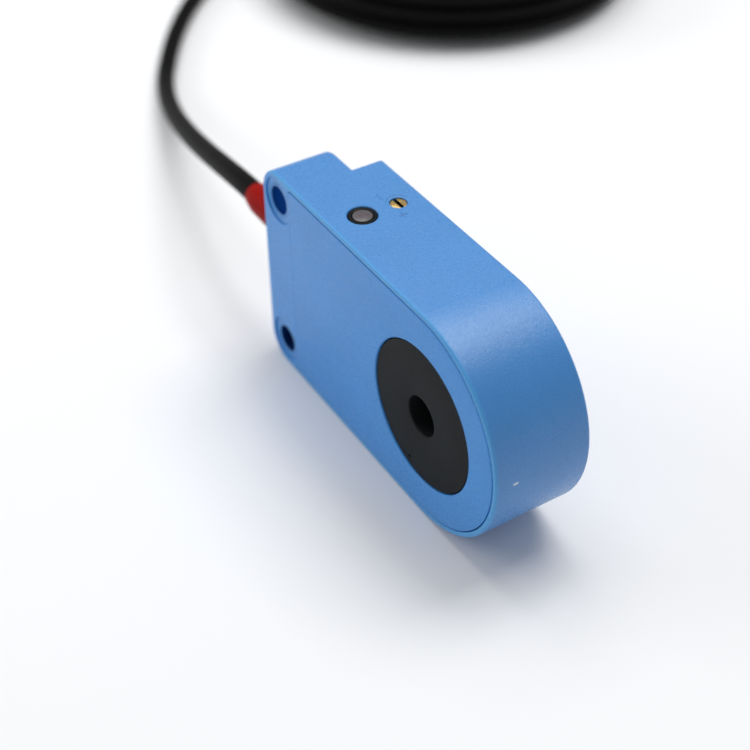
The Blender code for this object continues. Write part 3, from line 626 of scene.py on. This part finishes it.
def grained(name, base, other, roughness, size_mm, metallic=0.0, depth=0.01, strength=0.3, stretch=(1, 1, 1)):
    """A two-tone grained surface, for the pieces inside the case and the wire tails."""
    n = Nodes(name)
    fine = n.noise(size_mm, 3.0, 0.6, stretch)
    colour = n.mixed(n.ranged(fine, 0.0, 1.0, 0.35, 0.65), base, other)
    n.bumped((fine, depth, strength))
    rough = n.ranged(n.noise(size_mm * 3, 2.0), max(roughness - 0.06, 0.05), roughness + 0.06)
    return n.surface(base_color=colour, metallic=metallic, roughness=rough)


def wound_copper():
    """Enamelled winding: fine wire ridges along the bobbin under a clear amber coat, with painted shade in
    the grooves between turns.
    """
    n = Nodes("wound_copper")
    # Painted shade: the copper is painted darker in the grooves between the wire ridges and lighter on their
    # crests.
    ridges = n.math("SINE", n.math("MULTIPLY", n.coordinate_mm("Y"), 2 * math.pi / 0.22))
    colour = n.mixed(n.ranged(ridges, 0.0, 1.0, -1.0, 1.0), (0.30, 0.085, 0.030, 1), (0.66, 0.25, 0.10, 1))
    n.bumped((ridges, 0.03, 0.8))
    rough = n.ranged(n.noise(0.8, 2.0), 0.25, 0.38)
    return n.surface(base_color=colour, metallic=0.9, roughness=rough, coat_weight=0.5, coat_roughness=0.1)


def printed_board():
    """Green solder mask with paler tracks under it."""
    n = Nodes("printed_board")
    x, z = n.coordinate_mm("X"), n.coordinate_mm("Z")
    rows = n.math("GREATER_THAN", n.math("SINE", n.math("MULTIPLY", z, 4.2)), 0.75)
    columns = n.math("GREATER_THAN", n.math("SINE", n.math("MULTIPLY", x, 3.1)), 0.85)
    patch = n.math("GREATER_THAN", n.noise(5.0, 1.0), 0.5)
    tracks = n.math("MAXIMUM", n.math("MULTIPLY", rows, patch), n.math("MULTIPLY", columns, patch))
    colour = n.mixed(tracks, (0.010, 0.095, 0.035, 1), (0.030, 0.21, 0.075, 1))
    n.bumped((tracks, 0.03, 0.5), (n.noise(0.5, 2.0), 0.005, 0.3))
    rough = n.ranged(n.noise(1.0, 2.0), 0.30, 0.42)
    return n.surface(base_color=colour, roughness=rough)


def pale_floor():
    """Near-white paper with a very faint cloud in it."""
    n = Nodes("pale_floor")
    cloud = n.ranged(n.noise(120.0, 2.0), 0.0, 1.0, 0.3, 0.7)
    colour = n.mixed(cloud, (0.885, 0.890, 0.900, 1), (0.905, 0.908, 0.915, 1))
    n.bumped((n.noise(0.6, 2.0), 0.005, 0.1))
    return n.surface(base_color=colour, roughness=0.6, specular_ior_level=0.25)


def dress(obj, material, slot_name, body, *nodes):
    """Gives a new piece its material, puts it on its body and lets it stand for CAD nodes."""
    obj.data.materials.clear()
    obj.data.materials.append(material)
    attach(obj, body)
    if nodes:
        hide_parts(*nodes)
    return obj


# ---------------------------------------------------------------- case


def fixing_recess(side):
    """Cutter for the shallow seat of a fixing screw's head, which reaches just onto the cover."""
    front = CASE_LOW.y
    profile = [
        (0, front - OVERSHOOT),
        (FIXING_RECESS_RADIUS + MOUTH, front - OVERSHOOT),
        (FIXING_RECESS_RADIUS + MOUTH, front),
        (FIXING_RECESS_RADIUS, front + MOUTH),
        (FIXING_RECESS_RADIUS, front + FIXING_RECESS_DEPTH),
        (0, front + FIXING_RECESS_DEPTH),
    ]
    return turned("fixing_recess", profile, (0, 0, side * FIXING_HOLE_SPACING / 2), ALONG_Y)


def fixing_hole(side):
    """Cutter for one M4 hole, its lip eased at each mouth."""
    floor = CASE_LOW.y + FIXING_RECESS_DEPTH
    profile = [
        (0, floor - OVERSHOOT),
        (FIXING_HOLE_RADIUS + MOUTH, floor - OVERSHOOT),
        (FIXING_HOLE_RADIUS + MOUTH, floor),
        (FIXING_HOLE_RADIUS, floor + MOUTH),
        (FIXING_HOLE_RADIUS, EAR_BACK_Y - MOUTH),
        (FIXING_HOLE_RADIUS + MOUTH, EAR_BACK_Y),
        (FIXING_HOLE_RADIUS + MOUTH, EAR_BACK_Y + OVERSHOOT),
        (0, EAR_BACK_Y + OVERSHOOT),
    ]
    return turned("fixing_hole", profile, (0, 0, side * FIXING_HOLE_SPACING / 2), ALONG_Y)


def top_holes():
    """Cutters for the LED bezel and for the adjusting screw with its seal pocket."""
    past_top = TOP_Z + OVERSHOOT
    bezel_bottom = TOP_Z - WALL - OVERSHOOT
    bezel_radius = BEZEL_RADIUS + BEZEL_GAP
    bezel = [
        (0, bezel_bottom),
        (bezel_radius, bezel_bottom),
        (bezel_radius, TOP_Z - MOUTH),
        (bezel_radius + MOUTH, TOP_Z),
        (bezel_radius + MOUTH, past_top),
        (0, past_top),
    ]
    pocket_bottom = SCREW_BOSS_BOTTOM_Z - OVERSHOOT
    screw_radius = SCREW_RADIUS + SCREW_GAP
    rim_radius = COUNTERSINK_RADIUS + SCREW_GAP
    screw = [
        (0, pocket_bottom),
        (SEAL_POCKET_RADIUS, pocket_bottom),
        (SEAL_POCKET_RADIUS, SEAL_POCKET_TOP_Z),
        (screw_radius, SEAL_POCKET_TOP_Z),
        (screw_radius, TOP_Z - COUNTERSINK_DEPTH),
        (COUNTERSINK_RADIUS, TOP_Z - COUNTERSINK_DEPTH + 0.02, 0.03),
        (rim_radius, TOP_Z),
        (rim_radius, past_top),
        (0, past_top),
    ]
    return [
        turned("bezel_hole", bezel, (LED_AXIS.x, LED_AXIS.y, 0)),
        turned("screw_hole", softened(screw), (SCREW_AXIS.x, SCREW_AXIS.y, 0)),
    ]


def cover_seat():
    """Cutter for the recess that the cover sits in, its lip eased except where the cover meets the ear."""
    front = CASE_LOW.y
    profile = [
        (RIM - MOUTH, front - OVERSHOOT),
        (RIM - MOUTH, front),
        (RIM, front + MOUTH),
        (RIM, front + SEAT_DEPTH),
    ]
    return lofted("cover_seat", [(y, stadium(SEAT_LEFT_X, inset, SEAT_CORNER)) for inset, y in profile])


def screw_marks():
    """Raised marks by the screw: a minus on the cable side and a plus on the ring side."""
    base, top = TOP_Z - OVERLAP, TOP_Z + MARK_HEIGHT
    half = MARK_WIDTH / 2
    minus_x, minus_y = SCREW_AXIS.x + MINUS_PLACE[0], SCREW_AXIS.y + MINUS_PLACE[1]
    plus_x, plus_y = SCREW_AXIS.x + PLUS_PLACE[0], SCREW_AXIS.y + PLUS_PLACE[1]
    reach = MARK_LENGTH / 2
    bars = [
        ("minus_mark", (minus_x, minus_y), (reach, half)),
        ("plus_bar", (plus_x, plus_y), (reach, half)),
        ("plus_upright", (plus_x, plus_y), (half, reach)),
    ]
    marks = []
    for name, (x, y), (along_x, along_y) in bars:
        marks.append(block(name, (x - along_x, y - along_y, base), (x + along_x, y + along_y, top), 0.04))
    return marks


def make_housing(material):
    """The case: a thin ear, a thicker body, the cavity in it, its holes and its raised marks."""
    front, back = CASE_LOW.y, CASE_HIGH.y
    inner = BACK_EDGE_ROUND + FRONT_EDGE_ROUND
    ear_profile = [(inner, front), (0, front, FRONT_EDGE_ROUND)]
    ear_profile += [(0, EAR_BACK_Y, BACK_EDGE_ROUND), (inner, EAR_BACK_Y)]
    body_profile = [(0, (front + back) / 2), (0, back, BACK_EDGE_ROUND), (inner, back)]
    housing = lofted("housing_shell", case_sections(CASE_LOW.x, CORNER_RADIUS, softened(ear_profile, 8)))
    body = lofted("thick_body", case_sections(EAR_STEP_X, STEP_CORNER_RADIUS, softened(body_profile, 8)))
    cavity_outline = stadium(CAVITY_LEFT_X, WALL, CAVITY_CORNER)
    cavity = lofted("cavity", [(front - OVERSHOOT, cavity_outline), (back - BACK_WALL, cavity_outline)])
    channel = block(
        "channel",
        (CASE_LOW.x + END_WALL, CABLE_AXIS.y - CHANNEL_HALF, CABLE_AXIS.z - CHANNEL_HALF),
        (CAVITY_LEFT_X + OVERSHOOT, CABLE_AXIS.y + CHANNEL_HALF, CABLE_AXIS.z + CHANNEL_HALF),
        0.4,
    )
    boss_top = TOP_Z - WALL + OVERLAP
    boss_profile = [(0, SCREW_BOSS_BOTTOM_Z), (SCREW_BOSS_RADIUS, SCREW_BOSS_BOTTOM_Z)]
    boss_profile += [(SCREW_BOSS_RADIUS, boss_top), (0, boss_top)]
    boss = turned("boss", boss_profile, (SCREW_AXIS.x, SCREW_AXIS.y, 0))
    bush_radius = BUSH_TUBE_RADIUS + BUSH_GAP
    bush_profile = [(0, 0), (bush_radius, 0), (bush_radius, back - MOUTH), (bush_radius + MOUTH, back)]
    bush_profile += [(bush_radius + MOUTH, back + OVERSHOOT), (0, back + OVERSHOOT)]
    gland_start, gland_end = CASE_LOW.x - OVERSHOOT, CASE_LOW.x + END_WALL + OVERSHOOT
    gland_profile = [(0, gland_start), (GLAND_HOLE_RADIUS, gland_start)]
    gland_profile += [(GLAND_HOLE_RADIUS, gland_end), (0, gland_end)]
    holes = [
        turned("bush_hole", bush_profile, (RING_AXIS.x, 0, 0), ALONG_Y),
        turned("gland_hole", gland_profile, (0, CABLE_AXIS.y, CABLE_AXIS.z), ALONG_X),
        *(cutter(side) for cutter in (fixing_recess, fixing_hole) for side in (-1, 1)),
        *top_holes(),
    ]
    carve(housing, [("UNION", body), ("DIFFERENCE", cover_seat()), ("DIFFERENCE", cavity)])
    carve(housing, [("DIFFERENCE", channel), ("UNION", boss)])
    carve(housing, [("DIFFERENCE", cutter) for cutter in holes])
    carve(housing, [("UNION", mark) for mark in screw_marks()])
    dress(clean(housing), material, "blue_plastic", "sensor", "housing")


def make_cover(material):
    """The cover, flush with the case, its front edge rounded except where it meets the ear."""
    front, back = CASE_LOW.y + HAIRLINE, COVER_HIGH.y
    inset = RIM + COVER_GAP
    profile = softened([(2.0, front), (0, front, COVER_EDGE_ROUND), (0, back)], 4)
    outlines = [(y, stadium(COVER_LOW.x, inset + extra, COVER_CORNER)) for extra, y in profile]
    cover = lofted("cover_plate", outlines)
    opening = (BUSH_HIGH.z - BUSH_LOW.z) / 2 + COVER_GAP
    start, end = front - OVERSHOOT, back + OVERSHOOT
    cut = [(0, start), (opening + MOUTH, start), (opening + MOUTH, front), (opening, front + MOUTH)]
    cut += [(opening, end), (0, end)]
    opening_cutter = turned("cover_opening", cut, (RING_AXIS.x, 0, 0), ALONG_Y)
    cutters = [opening_cutter, fixing_recess(-1), fixing_recess(1)]
    carve(cover, [("DIFFERENCE", cutter) for cutter in cutters])
    dress(clean(cover), material, "blue_plastic", "sensor", "front_cover")


def make_bush(material):
    """The flanged bush round the target bore, with one small pit in its face."""
    front, back = BUSH_LOW.y, BUSH_HIGH.y
    flange_radius = (BUSH_HIGH.z - BUSH_LOW.z) / 2
    flange_back = front + BUSH_FLANGE_THICKNESS
    profile = [
        (BORE_RADIUS, back, 0.25),
        (BUSH_TUBE_RADIUS, back, 0.15),
        (BUSH_TUBE_RADIUS, flange_back),
        (flange_radius, flange_back),
        (flange_radius, front, 0.12),
        (BORE_RADIUS, front, 0.25),
    ]
    bush = turned("bush_insert", softened(profile, 5, closed=True), (RING_AXIS.x, 0, 0), ALONG_Y, 128)
    pit_profile = [(0, front + 0.2), (BUSH_PIT_RADIUS, front + 0.15, 0.1)]
    pit_profile += [(BUSH_PIT_RADIUS, front - OVERSHOOT), (0, front - OVERSHOOT)]
    pit = turned("pit", softened(pit_profile), (BUSH_PIT[0], 0, BUSH_PIT[1]), ALONG_Y, 24)
    carve(bush, [("DIFFERENCE", pit)])
    dress(clean(bush), material, "black_plastic", "sensor", "ring_bush")


# ---------------------------------------------------------------- fittings


def make_indicator(bezel_material, lens_material):
    """The black bezel and the low lens in it."""
    top, bottom = BEZEL_HIGH.z, BEZEL_LOW.z
    flange_radius = (BEZEL_HIGH.x - BEZEL_LOW.x) / 2
    profile = [
        (BEZEL_RADIUS, top, 0.14),
        (BEZEL_RADIUS, bottom + BEZEL_FLANGE_THICKNESS),
        (flange_radius, bottom + BEZEL_FLANGE_THICKNESS, 0.1),
        (flange_radius, bottom, 0.1),
        (BEZEL_BORE_RADIUS, bottom),
        (BEZEL_BORE_RADIUS, top - 0.12, 0.05),
        (BEZEL_BORE_RADIUS + 0.22, top, 0.08),
    ]
    centre = (LED_AXIS.x, LED_AXIS.y, 0)
    bezel = turned("bezel_ring", softened(profile, 4, closed=True), centre)
    dress(clean(bezel), bezel_material, "black_plastic", "sensor", "led_bezel")

    radius = (LENS_HIGH.x - LENS_LOW.x) / 2
    lens_profile = []
    steps = 12
    for i in range(steps + 1):
        share = i / steps
        lens_profile.append((radius * share, LENS_HIGH.z - LENS_FALL * share**2.4))
    lens_profile += [(radius, LENS_LOW.z + 0.1), (radius - 0.1, LENS_LOW.z), (0, LENS_LOW.z)]
    lens = turned("lens_dome", lens_profile, centre)
    dress(clean(lens, 50), lens_material, "smoked_lens", "sensor", "led_lens")


def make_screw(material):
    """The slotted brass head, its shank, and the blade that turns the trimmer's rotor."""
    x, y = SCREW_AXIS.x, SCREW_AXIS.y
    top, bottom = SCREW_HIGH.z, SCREW_LOW.z
    head_bottom = top - SCREW_HEAD_LENGTH
    profile = [
        (0, top),
        (SCREW_RADIUS, top, 0.14),
        (SCREW_RADIUS, head_bottom, 0.08),
        (SCREW_SHANK_RADIUS, head_bottom),
        (SCREW_SHANK_RADIUS, bottom + BLADE_LENGTH, 0.1),
        (0, bottom + BLADE_LENGTH),
    ]
    screw = turned("brass_screw", softened(profile, 4), (x, y, 0))
    half_slot = SCREW_SLOT_WIDTH / 2
    slot_reach = SCREW_RADIUS + OVERSHOOT
    slot_low = (x - slot_reach, y - half_slot, top - SCREW_SLOT_DEPTH)
    slot = block("slot", slot_low, (x + slot_reach, y + half_slot, top + OVERSHOOT))
    half_blade = BLADE_THICKNESS / 2
    blade_low = (x - BLADE_REACH, y - half_blade, bottom)
    blade_high = (x + BLADE_REACH, y + half_blade, bottom + BLADE_LENGTH + OVERLAP)
    blade = block("blade", blade_low, blade_high, 0.05)
    carve(screw, [("DIFFERENCE", slot), ("UNION", blade)])
    dress(clean(screw), material, "brass", "adjuster", "adjustment_screw")


def make_gland(material):
    """Strain relief: a flange inside the wall, then a collar and a sleeve with a tapered nose outside."""
    flange_radius = (GLAND_HIGH.z - GLAND_LOW.z) / 2
    flange_back = CASE_LOW.x + END_WALL + 0.2
    collar_back = CASE_LOW.x - 0.1
    collar_end = collar_back - GLAND_COLLAR_THICKNESS
    tip = GLAND_LOW.x
    profile = [
        (flange_radius, GLAND_HIGH.x, 0.2),
        (flange_radius, flange_back),
        (GLAND_NECK_RADIUS, flange_back),
        (GLAND_NECK_RADIUS, collar_back),
        (GLAND_COLLAR_RADIUS, collar_back),
        (GLAND_COLLAR_RADIUS, collar_end, 0.3),
        (GLAND_SLEEVE_RADIUS, collar_end, 0.3),
        (GLAND_SLEEVE_RADIUS, GLAND_NOSE_X, 0.8),
        (GLAND_TIP_RADIUS, tip, 0.1),
        (GLAND_BORE_RADIUS, tip, 0.05),
        (GLAND_BORE_RADIUS, GLAND_HIGH.x),
    ]
    centre = (0, CABLE_AXIS.y, CABLE_AXIS.z)
    gland = turned("strain_relief", softened(profile, 5, closed=True), centre, ALONG_X)
    dress(clean(gland), material, "red_rubber", "sensor", "cable_gland")


# ---------------------------------------------------------------- cable


def bezier(start, first_handle, second_handle, end):
    """Points along a cubic curve, without its last point."""
    points = []
    for i in range(BEND_STEPS):
        t = i / BEND_STEPS
        points.append(
            Vector(start) * (1 - t) ** 3
            + Vector(first_handle) * 3 * (1 - t) ** 2 * t
            + Vector(second_handle) * 3 * (1 - t) * t**2
            + Vector(end) * t**3
        )
    return points


def coil_points():
    """Three columns of turns, each inside the last: up, down and up again, always clockwise from above."""
    polar = []
    step = math.radians(PATH_STEP_DEG)
    angle = math.radians(COIL_START_DEG)
    top = TURNS_PER_COLUMN * COIL_PITCH
    crossover_steps = round(CROSSOVER_DEG / PATH_STEP_DEG)
    column_steps = round(TURNS_PER_COLUMN * 360 / PATH_STEP_DEG)
    for column in range(3):
        radius = COIL_RADIUS - column * COIL_PITCH
        start, end = (0, top) if column % 2 == 0 else (top, 0)
        if column:
            for i in range(1, crossover_steps):
                angle -= step
                share = i / crossover_steps
                eased = share * share * (3 - 2 * share)
                polar.append((angle, radius + COIL_PITCH * (1 - eased), start))
            angle -= step
        for i in range(column_steps + 1):
            polar.append((angle - step * i, radius, start + (end - start) * i / column_steps))
        angle -= step * column_steps
    x, y = COIL_CENTRE
    return [Vector((x + r * math.cos(a), y + r * math.sin(a), FLOOR_CABLE_Z + z)) for a, r, z in polar], angle


def free_end_points(angle):
    """The last arc, which curls into the middle of the coil and comes down to the floor."""
    inner_radius = COIL_RADIUS - 2 * COIL_PITCH
    offset = inner_radius - FREE_END_ARC_RADIUS
    centre_x = COIL_CENTRE[0] + offset * math.cos(angle)
    centre_y = COIL_CENTRE[1] + offset * math.sin(angle)
    top = TURNS_PER_COLUMN * COIL_PITCH
    points = []
    for i in range(1, FREE_END_STEPS + 1):
        turned_deg = FREE_END_SWEEP_DEG * i / FREE_END_STEPS
        fall = max(0.0, (turned_deg - FREE_END_LEVEL_DEG) / (FREE_END_SWEEP_DEG - FREE_END_LEVEL_DEG))
        height = FLOOR_CABLE_Z + top * (1 - fall * fall * (3 - 2 * fall))
        heading = angle - math.radians(turned_deg)
        x = centre_x + FREE_END_ARC_RADIUS * math.cos(heading)
        y = centre_y + FREE_END_ARC_RADIUS * math.sin(heading)
        points.append(Vector((x, y, height)))
    return points


def make_cable(material):
    """The jacket: straight through the strain relief, down to the floor, round the coil and free."""
    coil, end_angle = coil_points()
    start_angle = math.radians(COIL_START_DEG)
    coil_heading = Vector((math.sin(start_angle), -math.cos(start_angle), 0))
    heading = Vector((-math.cos(TOUCHDOWN_HEADING), math.sin(TOUCHDOWN_HEADING), 0))
    exit_point = Vector((GLAND_LOW.x, CABLE_AXIS.y, CABLE_AXIS.z))
    leaving = exit_point - Vector((EXIT_HANDLE, 0, 0))
    landing = TOUCHDOWN - heading * TOUCHDOWN_HANDLE_IN
    sliding = TOUCHDOWN + heading * TOUCHDOWN_HANDLE_OUT
    joining = coil[0] - coil_heading * COIL_HANDLE
    points = [Vector((x, CABLE_AXIS.y, CABLE_AXIS.z)) for x in (CABLE_INNER_END_X, CABLE_INNER_END_X - 0.1)]
    points += bezier(exit_point, leaving, landing, TOUCHDOWN)
    points += bezier(TOUCHDOWN, sliding, joining, coil[0])
    points += coil
    points += free_end_points(end_angle)
    points.append(points[-1] + (points[-1] - points[-2]).normalized() * 0.1)
    cable = swept("cable_run", points, CABLE_RADIUS)
    dress(cable, material, "cable_black", "sensor", "cable_jacket")


# ---------------------------------------------------------------- pieces kept from the CAD


def dress_kept_nodes():
    """Materials for the CAD pieces that stay as they are: the insides and the wire tails."""
    tin = grained("tinned", (0.60, 0.60, 0.59, 1), (0.72, 0.72, 0.70, 1), 0.32, 0.3, metallic=1.0)
    epoxy = grained("chip_epoxy", (0.012, 0.012, 0.013, 1), (0.022, 0.022, 0.024, 1), 0.45, 0.12)
    nylon = grained("natural_nylon", (0.60, 0.57, 0.49, 1), (0.68, 0.65, 0.57, 1), 0.45, 0.8)
    glass = grained("diode_glass", (0.46, 0.15, 0.04, 1), (0.62, 0.24, 0.08, 1), 0.14, 0.6)
    ceramic = grained("capacitor_ceramic", (0.46, 0.29, 0.12, 1), (0.56, 0.36, 0.17, 1), 0.5, 0.2)
    tantalum = grained("tantalum_case", (0.66, 0.37, 0.04, 1), (0.76, 0.46, 0.06, 1), 0.4, 0.3)
    sintered = grained("sintered_ferrite", (0.030, 0.030, 0.033, 1), (0.060, 0.058, 0.060, 1), 0.5, 0.25)
    seal = grained("seal_rubber", (0.020, 0.020, 0.020, 1), (0.034, 0.034, 0.034, 1), 0.65, 0.2)
    tinted = grained("led_epoxy", (0.80, 0.42, 0.04, 1), (0.90, 0.55, 0.08, 1), 0.12, 1.0)
    moulded = grained("trimmer_plastic", (0.015, 0.095, 0.36, 1), (0.028, 0.14, 0.46, 1), 0.4, 0.25)
    brown = grained("brown_insulation", (0.115, 0.042, 0.018, 1), (0.155, 0.062, 0.028, 1), 0.4, 0.5)
    blue = grained("blue_insulation", (0.015, 0.075, 0.40, 1), (0.022, 0.105, 0.50, 1), 0.4, 0.5)
    black = grained("black_insulation", (0.012, 0.012, 0.012, 1), (0.022, 0.022, 0.022, 1), 0.4, 0.5)
    copper = wound_copper()
    finishes = {
        "coil_bobbin": nylon,
        "coil_winding": copper,
        "coil_lead_start": copper,
        "coil_lead_end": copper,
        "ferrite_ring": sintered,
        "circuit_board": printed_board(),
        "oscillator_ic": epoxy,
        "comparator_ic": epoxy,
        "output_transistor": epoxy,
        "reverse_diode": glass,
        "surge_diode": glass,
        "tank_capacitor": ceramic,
        "supply_capacitor": tantalum,
        "indicator_led": tinted,
        "led_lead_anode": tin,
        "led_lead_cathode": tin,
        "trimmer_body": moulded,
        "trimmer_rotor": nylon,
        "screw_seal": seal,
        "cable_clip": nylon,
        "wire_brown": brown,
        "wire_blue": blue,
        "wire_black": black,
        "tail_brown": brown,
        "tail_blue": blue,
        "tail_black": black,
        "tinned_end_brown": tin,
        "tinned_end_blue": tin,
        "tinned_end_black": tin,
    }
    for i in range(1, 5):
        finishes[f"resistor_{i}"] = epoxy
    for name, material in finishes.items():
        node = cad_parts[name]
        node.data.materials.clear()
        node.data.materials.append(material)


# ---------------------------------------------------------------- studio


def make_floor():
    """The pale floor that the case and the coil rest on."""
    shape = bmesh.new()
    bmesh.ops.create_grid(shape, x_segments=8, y_segments=8, size=FLOOR_REACH)
    floor = new_object("studio_floor", shape, (0, 0, CASE_LOW.z - 0.02))
    floor.data.materials.append(pale_floor())


def area_light(name, place, size, power):
    """A white softbox at a place, turned to the object."""
    data = bpy.data.lights.new(name, "AREA")
    data.shape = "RECTANGLE"
    data.size, data.size_y = (s * MM for s in size)
    data.energy = power
    light = bpy.data.objects.new(name, data)
    light.location = Vector(place) * MM
    light.rotation_euler = (Vector(LIGHT_TARGET) - Vector(place)).to_track_quat("-Z", "Y").to_euler()
    bpy.context.scene.collection.objects.link(light)


def make_studio():
    """Even sky light and the softboxes, shown without a film look."""
    world = bpy.data.worlds.new("studio")
    world.use_nodes = True
    background = world.node_tree.nodes["Background"]
    background.inputs["Color"].default_value = SKY_COLOUR
    background.inputs["Strength"].default_value = SKY_STRENGTH
    bpy.context.scene.world = world
    for softbox in SOFTBOXES:
        area_light(*softbox)
    bpy.context.scene.view_settings.view_transform = "Standard"
    bpy.context.scene.view_settings.look = "None"


def make_camera():
    """The camera, looking down at the front cover with a shallow focus."""
    data = bpy.data.cameras.new("camera")
    data.lens = CAMERA_LENS
    data.sensor_width = 36.0
    data.clip_start = 0.01
    data.clip_end = 20.0
    place = Vector(CAMERA_PLACE) * MM
    focus = bpy.data.objects.new("focus", None)
    focus.location = place - CAMERA_BACK.normalized() * FOCUS_DEPTH * MM
    data.dof.use_dof = True
    data.dof.focus_object = focus
    data.dof.aperture_fstop = APERTURE
    camera = bpy.data.objects.new("camera", data)
    turn = Matrix((CAMERA_RIGHT, CAMERA_UP, CAMERA_BACK)).transposed().to_4x4()
    camera.matrix_world = Matrix.Translation(place) @ turn
    for obj in (focus, camera):
        bpy.context.scene.collection.objects.link(obj)
    bpy.context.scene.camera = camera


make_housing(housing_plastic())
make_cover(cover_plastic())
make_bush(black_plastic("bush_plastic", (0.0075, 0.0088, 0.0096, 1), 0.55))
make_indicator(black_plastic("bezel_plastic", (0.0035, 0.0055, 0.0075, 1), 0.35, 0.2, 0.15), smoked_lens())
make_screw(turned_brass())
make_gland(gland_rubber())
make_cable(cable_rubber())
dress_kept_nodes()
make_floor()
make_studio()
make_camera()
